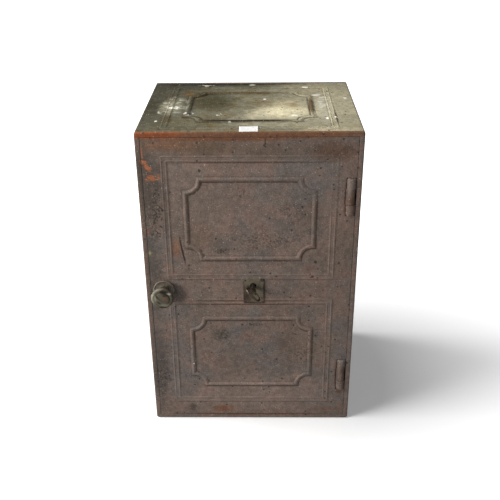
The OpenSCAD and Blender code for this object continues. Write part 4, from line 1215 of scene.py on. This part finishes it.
@dataclass
class CaseCasting:
    """The cast case: four walls in one piece, open at the front, with a rear flange and moulded panels.

    Attributes:
        half_w: half its width.
        height: its height.
        front: where its front edge lies.
        back: where it meets the back plate.
        wall: thickness of its walls.
        edge: rounding of its front edges.
        corner: rounding of its corners seen from the front.
        flange: width of the rear flange.
        flange_t: thickness of the rear flange.
        panels: height of the middle and height over the frame of each side panel.
        side_w: width over the frame of the side panels and of the top panel's short side.
        top_w: width over the frame of the top panel.
        panel_y: where the middles of the top and side panels lie from front to back.
        bevel: size of the bevel between the front edge and the inside.
    """

    half_w: float = 203.0
    height: float = 636.0
    front: float = -165.0
    back: float = 153.0
    wall: float = 9.5
    edge: float = 3.0
    corner: float = 5.0
    flange: float = 20.0
    flange_t: float = 12.0
    panels: tuple[tuple[float, float], ...] = ((170.886, 240.0), (466.386, 240.0))
    side_w: float = 261.0
    top_w: float = 307.0
    panel_y: float = -12.5
    bevel: float = 0.3

    EDGE_STEPS = 5
    # Rings along the outer walls, and the distance of the first one from the rounded edge
    WALL_RINGS = 12
    WALL_START = 10
    INSIDE_DIRT = 0.5

    def rings(self) -> tuple[list[tuple[float, float]], list[Finish | None]]:
        """Lists the rings of the section, from the front edge round the outside and back through the inside.

        Returns:
            Each ring's inset and depth, and the finish of the step after it, None on the outer walls.
        """
        ring = [(self.wall - self.bevel, self.front)]
        ring += [(inset, self.front + depth) for inset, depth in quarter_round(self.edge, self.EDGE_STEPS)]
        finish: list[Finish | None] = [Finish.FRONT] * (len(ring) - 1)
        for depth in np.linspace(self.front + self.edge + self.WALL_START, self.back, self.WALL_RINGS):
            ring.append((0.0, float(depth)))
            finish.append(None)
        finish.append(Finish.BACK)
        flange = self.wall + self.flange
        for inset, depth in (
            (flange, self.back),
            (flange, self.back - self.flange_t),
            (self.wall, self.back - self.flange_t),
            (self.wall, self.front + self.bevel),
        ):
            ring.append((inset, depth))
            finish.append(Finish.INSIDE)
        finish[-1] = Finish.FRONT
        return ring, finish

    def shell(self) -> Surface:
        """Builds the walls by joining each ring to the next, round the section.

        Returns:
            The closed walls.
        """
        outline = Outline(self.half_w, self.height / 2, self.corner, self.height / 2)
        ring, finish = self.rings()
        points = outline.layers(ring)
        count = points.shape[1]
        faces = grid_faces(len(ring), count, True)
        side = outline.side_of(np.arange(count))
        walls = [Finish.SIDE, Finish.BACK, Finish.SIDE, Finish.TOP]
        finishes = [finish[i] or walls[side[j]] for i in range(len(ring)) for j in range(count)]
        inset = np.array([r[0] for r in ring])
        dirt_and_shade = np.repeat(np.where(inset >= self.wall, self.INSIDE_DIRT, 0.0), count)
        return Surface(points.reshape(-1, 3), faces, finishes, dirt_and_shade).outward()

    def build(self, dresser: Dresser) -> bpy.types.Object:
        """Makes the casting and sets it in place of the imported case.

        Args:
            dresser: where its materials come from.

        Returns:
            The casting.
        """
        shells = [self.shell()]
        # In the photo the top's bead is lower and wider than the door's, dark on its inner side with dirt and
        # painted shade, and with painted shade at its front feet
        top = Moulding(
            self.top_w,
            self.side_w,
            bead_r=6.2,
            bead_h=1.9,
            reed_h=0.8,
            skirt=3.4,
            grime_and_shade=(0.2, 0.95),
            shade_side=(0.0, -0.8),
        )
        shells += top.shells((0, self.panel_y, self.height), (1, 0, 0), (0, 1, 0), (0, 0, 1), Finish.TOP)
        for side in (-1, 1):
            for centre, high in self.panels:
                place = (side * self.half_w, self.panel_y, centre)
                moulding = Moulding(self.side_w, high)
                shells += moulding.shells(place, (0, side, 0), (0, 0, 1), (side, 0, 0), Finish.SIDE)
        casting = Surface.joined(shells).to_object("case_casting", dresser)
        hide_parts("case_shell")
        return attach(casting, "case")


@dataclass
class DoorCasting:
    """The cast door: a plate with soft edges, notched at the hinges and bored for spindle and key.

    Attributes:
        half_w: half its width.
        base: height of its lower edge.
        top: height of its upper edge.
        front: where its face lies.
        thickness: its thickness.
        edge: rounding of its edges and of its knuckles.
        corner: rounding of its corners seen from the front.
        panel_w: width over the frame of each panel.
        panels: height of the middle and height over the frame of each panel.
        worn: worn spot of each panel's mouldings.
        hinge_z: height of the middle of each hinge.
        hinge_half: half the height of the notch round a hinge.
        hinge_axis: where the hinge axis lies, along X and Y.
        notch_x: where the notches begin.
        knuckle_r: radius of the door's own knuckle.
        knuckle_half: half its length.
        pin_r: radius of its bore.
        key: place of the keyhole.
        key_r: radius of its round part.
        key_slot: half width and reach of its slot.
        spindle: place of the spindle's hole.
        spindle_r: its radius.
        bridge: how far a knuckle's web reaches into the plate, and how far from the hinge axis it ends.
    """

    half_w: float = 192.9
    base: float = 9.7
    top: float = 625.9
    front: float = -165.0
    thickness: float = 10.0
    edge: float = 0.5
    corner: float = 1.5
    panel_w: float = 307.0
    panels: tuple[tuple[float, float], ...] = ((170.886, 240.0), (466.386, 240.0))
    worn: tuple[tuple[float, float, float, float], ...] = ((150.0, 0.0, 60.0, 0.7), (150.0, 75.0, 75.0, 0.15))
    hinge_z: tuple[float, float] = (115.0, 512.0)
    hinge_half: float = 37.6
    hinge_axis: tuple[float, float] = (184.0, -162.0)
    notch_x: float = 174.0
    knuckle_r: float = 7.4
    knuckle_half: float = 15.5
    pin_r: float = 3.55
    key: tuple[float, float] = (5.0, 326.936)
    key_r: float = 6.0
    key_slot: tuple[float, float] = (2.05, 14.6)
    spindle: tuple[float, float] = (-167.8, 317.936)
    spindle_r: float = 5.1
    bridge: tuple[float, float] = (1.0, 4.0)

    EDGE_STEPS = 4
    CORNER_STEPS = 3
    ROUND_STEPS = 48
    # How far a cutter stands out of the plate
    OVERSHOOT = 5
    # The plate's edge and back are dirty from this depth on
    DIRTY_FROM = 2
    EDGE_DIRT = 0.8
    KNUCKLE_DIRT = 0.35

    @property
    def back(self) -> float:
        """Returns where the back of the plate lies."""
        return self.front + self.thickness

    def plate(self) -> Surface:
        """Builds the plate as rings from its face round the edge to its back, and a large face on each side.

        Returns:
            The closed plate.
        """
        half, middle = (self.top - self.base) / 2, (self.top + self.base) / 2
        outline = Outline(self.half_w, half, self.corner, middle, self.CORNER_STEPS)
        edge = quarter_round(self.edge, self.EDGE_STEPS)
        ring = [(inset, self.front + depth) for inset, depth in edge]
        ring += [(inset, self.back - depth) for depth, inset in edge]
        points = outline.layers(ring)
        count = points.shape[1]
        faces = grid_faces(len(ring), count, False)
        finishes = [Finish.FRONT] * (count * len(edge)) + [Finish.INSIDE] * (len(faces) - count * len(edge))
        faces.append(list(range(count))[::-1])
        faces.append(list(range((len(ring) - 1) * count, len(ring) * count)))
        finishes += [Finish.FRONT, Finish.INSIDE]
        depth = np.array([r[1] for r in ring]) - self.front
        dirt_and_shade = np.repeat(np.where(depth > self.DIRTY_FROM, self.EDGE_DIRT, 0.0), count)
        return Surface(points.reshape(-1, 3), faces, finishes, dirt_and_shade).outward()

    def knuckle(self, height: float) -> Surface:
        """Builds the door's knuckle of one hinge: a tube about the hinge axis.

        Args:
            height: height of the hinge's middle.

        Returns:
            The closed tube.
        """
        half, edge = self.knuckle_half, self.edge
        section = np.array(
            [
                (self.pin_r, -half),
                (self.knuckle_r - edge, -half),
                (self.knuckle_r, -half + edge),
                (self.knuckle_r, half - edge),
                (self.knuckle_r - edge, half),
                (self.pin_r, half),
            ]
        )
        turn = np.linspace(0, 2 * math.pi, self.ROUND_STEPS + 1)[:-1]
        x = self.hinge_axis[0] + section[None, :, 0] * np.cos(turn)[:, None]
        y = self.hinge_axis[1] + section[None, :, 0] * np.sin(turn)[:, None]
        z = np.broadcast_to(height + section[None, :, 1], x.shape)
        points = np.stack([x, y, z], -1).reshape(-1, 3)
        faces = grid_faces(len(turn), len(section), True)
        dirt_and_shade = np.full(len(points), self.KNUCKLE_DIRT)
        return Surface(points, faces, [Finish.HINGE] * len(faces), dirt_and_shade).outward()

    def build(self, dresser: Dresser) -> bpy.types.Object:
        """Makes the casting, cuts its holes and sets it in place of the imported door.

        Args:
            dresser: where its materials come from.

        Returns:
            The casting.
        """
        plate = self.plate().to_object("door_casting", dresser)
        before, behind = self.front - self.OVERSHOOT, self.back + self.OVERSHOOT
        cutters = []
        for height in self.hinge_z:
            low = (self.notch_x, before, height - self.hinge_half)
            cutters.append(self._box(low, (self.half_w + self.OVERSHOOT, behind, height + self.hinge_half)))
        cutters.append(self._rod(self.spindle, self.spindle_r))
        cutters.append(self._rod(self.key, self.key_r))
        half, reach = self.key_slot
        x, z = self.key
        cutters.append(self._box((x - half, before, z - reach), (x + half, behind, z)))
        self._cut(plate, cutters)
        shells = []
        for (centre, high), worn in zip(self.panels, self.worn):
            moulding = Moulding(self.panel_w, high, reed_h=0.85, band_h=0.35, worn=worn)
            shells += moulding.shells((0, self.front, centre), (1, 0, 0), (0, 0, 1), (0, -1, 0), Finish.FRONT)
        start, end = self.notch_x - self.bridge[0], self.hinge_axis[0] - self.bridge[1]
        for height in self.hinge_z:
            shells.append(self.knuckle(height))
            low = (start, self.front, height - self.knuckle_half)
            shells.append(self._box(low, (end, self.back, height + self.knuckle_half)))
        rest = Surface.joined(shells).to_object("door_mouldings", dresser)
        self._merge(plate, rest)
        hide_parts("door_plate")
        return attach(plate, "door")

    def _box(self, low: tuple, high: tuple) -> Surface:
        """Builds a box.

        Args:
            low: its lowest corner, in mm.
            high: its highest corner.

        Returns:
            The closed box.
        """
        corners = np.array([(x, y, z) for x in (0, 1) for y in (0, 1) for z in (0, 1)])
        points = np.where(corners == 1, high, low).astype(float)
        faces = [[0, 1, 3, 2], [4, 6, 7, 5], [0, 4, 5, 1], [2, 3, 7, 6], [0, 2, 6, 4], [1, 5, 7, 3]]
        return Surface(points, faces, [Finish.FRONT] * len(faces), np.zeros(len(points))).outward()

    def _rod(self, place: tuple[float, float], radius: float) -> Surface:
        """Builds a rod along Y that stands out of the plate on both sides.

        Args:
            place: where it goes through the face, along X and Z, in mm.
            radius: its radius.

        Returns:
            The closed rod.
        """
        count = self.ROUND_STEPS
        turn = np.linspace(0, 2 * math.pi, count + 1)[:-1]
        x, z = place[0] + radius * np.cos(turn), place[1] + radius * np.sin(turn)
        ring = np.stack([x, np.zeros(count), z], -1)
        ends = (self.front - self.OVERSHOOT, self.back + self.OVERSHOOT)
        points = np.concatenate([ring + (0, depth, 0) for depth in ends])
        faces = grid_faces(2, count, False) + [list(range(count))[::-1], list(range(count, 2 * count))]
        return Surface(points, faces, [Finish.INSIDE] * len(faces), np.zeros(len(points))).outward()

    def _cut(self, plate: bpy.types.Object, cutters: list[Surface]) -> None:
        """Cuts closed shells out of the plate with Blender's exact boolean, and keeps the result.

        Args:
            plate: the object that is cut.
            cutters: the shells.
        """
        tools = []
        for number, cutter in enumerate(cutters):
            mesh = new_mesh(f"cutter_{number}", cutter.points, cutter.faces)
            tool = new_object(mesh.name, mesh)
            tools.append(tool)
            cut = plate.modifiers.new(mesh.name, "BOOLEAN")
            cut.operation, cut.solver, cut.object = "DIFFERENCE", "EXACT", tool
        graph = bpy.context.evaluated_depsgraph_get()
        result = bpy.data.meshes.new_from_object(plate.evaluated_get(graph))
        plate.modifiers.clear()
        plate.data = result
        for tool in tools:
            bpy.data.objects.remove(tool)

    def _merge(self, plate: bpy.types.Object, rest: bpy.types.Object) -> None:
        """Joins a second object's mesh to the plate.

        Args:
            plate: the object that stays.
            rest: the object that goes into it.
        """
        with bpy.context.temp_override(active_object=plate, selected_editable_objects=[plate, rest]):
            bpy.ops.object.join()


@dataclass
class PaperLabel:
    """A small blank paper label stuck on the top near its front edge.

    Attributes:
        middle: its middle on the top, in mm.
        size: its width and its depth.
        height: height of the top.
        lift: height of the paper over the top.
        curl: how far its free corner stands up.
        ridge: where the moulding lies that it is laid over, how wide and how high it makes the paper rise.
        thickness: thickness of the paper.
    """

    middle: tuple[float, float] = (-1.0, -150.0)
    size: tuple[float, float] = (34.0, 26.0)
    height: float = 636.0
    lift: float = 0.15
    curl: float = 0.5
    ridge: tuple[float, float, float] = (-143.0, 9.0, 1.2)
    thickness: float = 0.12

    # Points across the sheet and from front to back
    POINTS = (25, 19)
    FIBRE_MM = 1.5

    def build(self) -> bpy.types.Object:
        """Builds the label as a thin sheet laid over the moulding.

        Its height is the lift, plus the ridge's height times exp(-((y - place) / width) squared), plus the
        curl times the fourth power of the way to its right rear corner.

        Returns:
            The label.
        """
        across, deep = self.POINTS
        u, v = np.meshgrid(np.linspace(-1, 1, across), np.linspace(-1, 1, deep), indexing="ij")
        corner = np.clip((u + v) / 2, 0, 1)
        x = self.middle[0] + u * self.size[0] / 2
        y = self.middle[1] + v * self.size[1] / 2
        place, width, high = self.ridge
        z = self.height + self.lift + high * np.exp(-(((y - place) / width) ** 2)) + self.curl * corner**4
        points = np.stack([x, y, z], -1).reshape(-1, 3)
        i, j = np.meshgrid(np.arange(across - 1), np.arange(deep - 1), indexing="ij")
        start = i * deep + j
        faces = np.stack([start, start + deep, start + deep + 1, start + 1], -1).reshape(-1, 4)
        mesh = new_mesh("paper_label", points, faces.tolist())
        mesh.polygons.foreach_set("use_smooth", np.ones(len(faces), bool))
        mesh.materials.append(self.paper())
        label = new_object("paper_label", mesh)
        thick = label.modifiers.new("paper", "SOLIDIFY")
        thick.thickness, thick.offset = self.thickness * MM, -1
        LOG.info("paper_label: %d faces", len(faces))
        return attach(label, "case")

    def paper(self) -> bpy.types.Material:
        """Builds matt white paper.

        Returns:
            The material.
        """
        # Cheap paper gone slightly grey: the fibres give a faint grain, and nothing shines
        material = bpy.data.materials.new("matt_white_paper")
        tree = cleared(material)
        place = add(tree, "TexCoord").outputs["Object"]
        fibre = add(tree, "TexNoise", {"Vector": place, "Scale": per_metre(self.FIBRE_MM), "Detail": 4.0})
        dark, pale = linear("#c4c3bf"), linear("#dddcd8")
        colour = add(tree, "Mix", {0: fibre.outputs[0], 6: dark, 7: pale}, data_type="RGBA")
        relief = add(tree, "Bump", {"Height": fibre.outputs[0], "Strength": 0.2, "Distance": 0.05 * MM})
        shader = add(
            tree,
            "BsdfPrincipled",
            {"Base Color": colour.outputs[2], "Roughness": 0.85, "Normal": relief.outputs[0]},
        )
        add(tree, "OutputMaterial", {"Surface": shader.outputs[0]})
        return material


@dataclass
class SolidFinishes:
    """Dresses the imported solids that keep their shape.

    Attributes:
        nodes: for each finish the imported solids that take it.
    """

    nodes: dict[Finish, tuple[str, ...]] = field(
        default_factory=lambda: {
            Finish.BACK: ("back_plate",),
            Finish.HINGE: ("hinge_bracket_upper", "hinge_bracket_lower"),
            Finish.STOP: ("door_stop_left", "door_stop_right", "door_stop_top", "door_stop_bottom"),
            Finish.LOCK: ("lock_case", "lock_cover", "bolt_guide_upper", "bolt_guide_lower"),
            Finish.PLATE: ("escutcheon",),
            Finish.ROSE: ("knob_rose",),
            Finish.KNOB: ("door_knob",),
            Finish.BRASS: ("spindle_bush", "lock_wards"),
            Finish.KEY: ("key",),
            Finish.STEEL: (
                "knob_spindle", "latch_tongue", "lock_bolt", "bolt_spring", "bolt_carriage", "bolt_upper",
                "bolt_lower", "drill_pin", "bolt_guide_post", "hinge_pin_upper", "hinge_pin_lower",
            ),
            Finish.SCREW: (
                "back_plate_screws", "hinge_leaf_screws", "door_stop_screws", "lock_screws",
                "bolt_guide_screws", "carriage_rivets", "spindle_washer", "spindle_nut",
            ),
            Finish.PIN: ("escutcheon_pins",),
        }
    )

    def build(self, dresser: Dresser) -> None:
        """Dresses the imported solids.

        Args:
            dresser: where the materials come from.
        """
        for finish, nodes in self.nodes.items():
            for node in nodes:
                dresser.dress_node(node, finish)


@dataclass(frozen=True)
class SoftLamp:
    """A square soft lamp.

    Attributes:
        name: its name.
        place: where it stands, in metres.
        target: the point that it is turned to.
        size: length of its sides, in metres.
        watts: its power.
    """

    name: str
    place: tuple[float, float, float]
    target: tuple[float, float, float]
    size: float
    watts: float

    def build(self) -> bpy.types.Object:
        """Builds the lamp.

        Returns:
            The lamp.
        """
        data = bpy.data.lights.new(self.name, "AREA")
        data.shape, data.size, data.energy = "SQUARE", self.size, self.watts
        lamp = new_object(self.name, data)
        lamp.location = self.place
        lamp.rotation_euler = (Vector(self.target) - Vector(self.place)).to_track_quat("-Z", "Y").to_euler()
        return lamp


@dataclass
class Studio:
    """A pale floor, soft lamps and the camera.

    Attributes:
        camera: where the camera stands, in metres.
        yaw: how far it looks to the left, in degrees.
        pitch: how far it looks down.
        roll: how far it leans.
        focal: focal length on the sensor, in mm.
        sensor: width of the sensor, in mm.
        window: the lamp at the left front, whose light the floor doesn't take.
        ceiling: the large lamp over the left side.
        floor_half: half the length of the floor's sides, in metres.
        fill: light of the surroundings.
        sweep: distances between which the floor turns into a white sweep, in metres.
        lift: how much of the white is already there at the box.
    """

    camera: tuple[float, float, float] = (0.0207, -1.4151, 1.0563)
    yaw: float = 0.974
    pitch: float = 27.554
    roll: float = -0.538
    focal: float = 53.86
    sensor: float = 36.0
    window: SoftLamp = SoftLamp("window_lamp", (-2.5, -3.75, 1.3), (0.0, -0.165, 0.3), 0.9, 118.0)
    ceiling: SoftLamp = SoftLamp("ceiling_lamp", (-2.78, -0.3, 2.4), (0.0, 0.0, 0.3), 2.9, 280.0)
    floor_half: float = 9.0
    fill: float = 0.16
    sweep: tuple[float, float] = (0.3, 1.0)
    lift: float = 0.2

    def build(self) -> None:
        """Builds the floor, the surroundings, the lamps and the camera."""
        floor = self._floor()
        self._surroundings()
        window = self.window.build()
        self.ceiling.build()
        self._leave_out(window, floor)
        self._camera()

    def _leave_out(self, lamp: bpy.types.Object, thing: bpy.types.Object) -> None:
        """Keeps a lamp's light off one thing.

        Args:
            lamp: the lamp.
            thing: what it doesn't light.
        """
        dark = bpy.data.collections.new(f"out_of_{lamp.name}")
        dark.objects.link(thing)
        dark.collection_objects[0].light_linking.link_state = "EXCLUDE"
        lamp.light_linking.receiver_collection = dark

    def _floor(self) -> bpy.types.Object:
        """Builds the floor.

        Returns:
            The floor.
        """
        half = self.floor_half
        mesh = bpy.data.meshes.new("floor")
        corners = [(-half, -half, 0), (half, -half, 0), (half, half, 0), (-half, half, 0)]
        mesh.from_pydata(corners, [], [(0, 1, 2, 3)])
        floor = new_object("floor", mesh)
        # White paper: nearly white to the camera, with a soft grey shadow at the box, and lifted to white
        # further off. The box itself sees a greyer tone, so that it isn't lit from below.
        material = bpy.data.materials.new("white_paper_floor")
        tree = cleared(material)
        seen = add(tree, "LightPath").outputs["Is Camera Ray"]
        place = add(tree, "TexCoord").outputs["Object"]
        away = add(tree, "VectorMath", {0: place}, operation="LENGTH")
        near, far = self.sweep
        white = add(tree, "MapRange", {0: away.outputs["Value"], 1: near, 2: far, 3: self.lift})
        lift = add(tree, "Math", {0: seen, 1: white.outputs[0]}, operation="MULTIPLY")
        tone = add(tree, "Mix", {0: seen, 6: linear("#a0a0a0"), 7: linear("#f2f2f2")}, data_type="RGBA")
        matt = add(tree, "BsdfDiffuse", {"Color": tone.outputs[2]})
        glow = add(tree, "Emission", {"Strength": lift.outputs[0]})
        both = add(tree, "AddShader", {0: matt.outputs[0], 1: glow.outputs[0]})
        add(tree, "OutputMaterial", {"Surface": both.outputs[0]})
        mesh.materials.append(material)
        return floor

    def _surroundings(self) -> None:
        """Sets a world that is white where it is seen and a plain fill elsewhere."""
        world = bpy.data.worlds.new("studio")
        bpy.context.scene.world = world
        tree = cleared(world)
        path = add(tree, "LightPath")
        seen = path.outputs["Is Camera Ray"]
        for ray in ("Is Glossy Ray", "Is Transmission Ray"):
            seen = add(tree, "Math", {0: seen, 1: path.outputs[ray]}, operation="MAXIMUM").outputs[0]
        level = add(tree, "MapRange", {0: seen, 3: self.fill, 4: 1.0})
        light = add(tree, "Background", {"Color": (1, 1, 1, 1), "Strength": level.outputs[0]})
        add(tree, "OutputWorld", {"Surface": light.outputs[0]})

    def _camera(self) -> None:
        """Sets the camera where the photographer's stood."""
        yaw, pitch, roll = (math.radians(a) for a in (self.yaw, self.pitch, self.roll))
        ahead = Vector((-math.sin(yaw) * math.cos(pitch), math.cos(yaw) * math.cos(pitch), -math.sin(pitch)))
        right = Vector((math.cos(yaw), math.sin(yaw), 0.0))
        up = right.cross(ahead)
        tilted_right = right * math.cos(roll) + up * math.sin(roll)
        tilted_up = up * math.cos(roll) - right * math.sin(roll)
        data = bpy.data.cameras.new("camera")
        data.lens, data.sensor_width = self.focal, self.sensor
        camera = new_object("camera", data)
        axes = Matrix((tilted_right, tilted_up, -ahead)).transposed().to_4x4()
        camera.matrix_world = Matrix.Translation(self.camera) @ axes
        bpy.context.scene.camera = camera


def main() -> None:
    """Builds the scene, piece by piece."""
    logging.basicConfig(level=logging.INFO, format="%(message)s")
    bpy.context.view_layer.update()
    bpy.context.scene.view_settings.view_transform = "Standard"
    dresser = Dresser()
    SolidFinishes().build(dresser)
    CaseCasting().build(dresser)
    DoorCasting().build(dresser)
    PaperLabel().build()
    Studio().build()


if __name__ == "__main__":
    main()
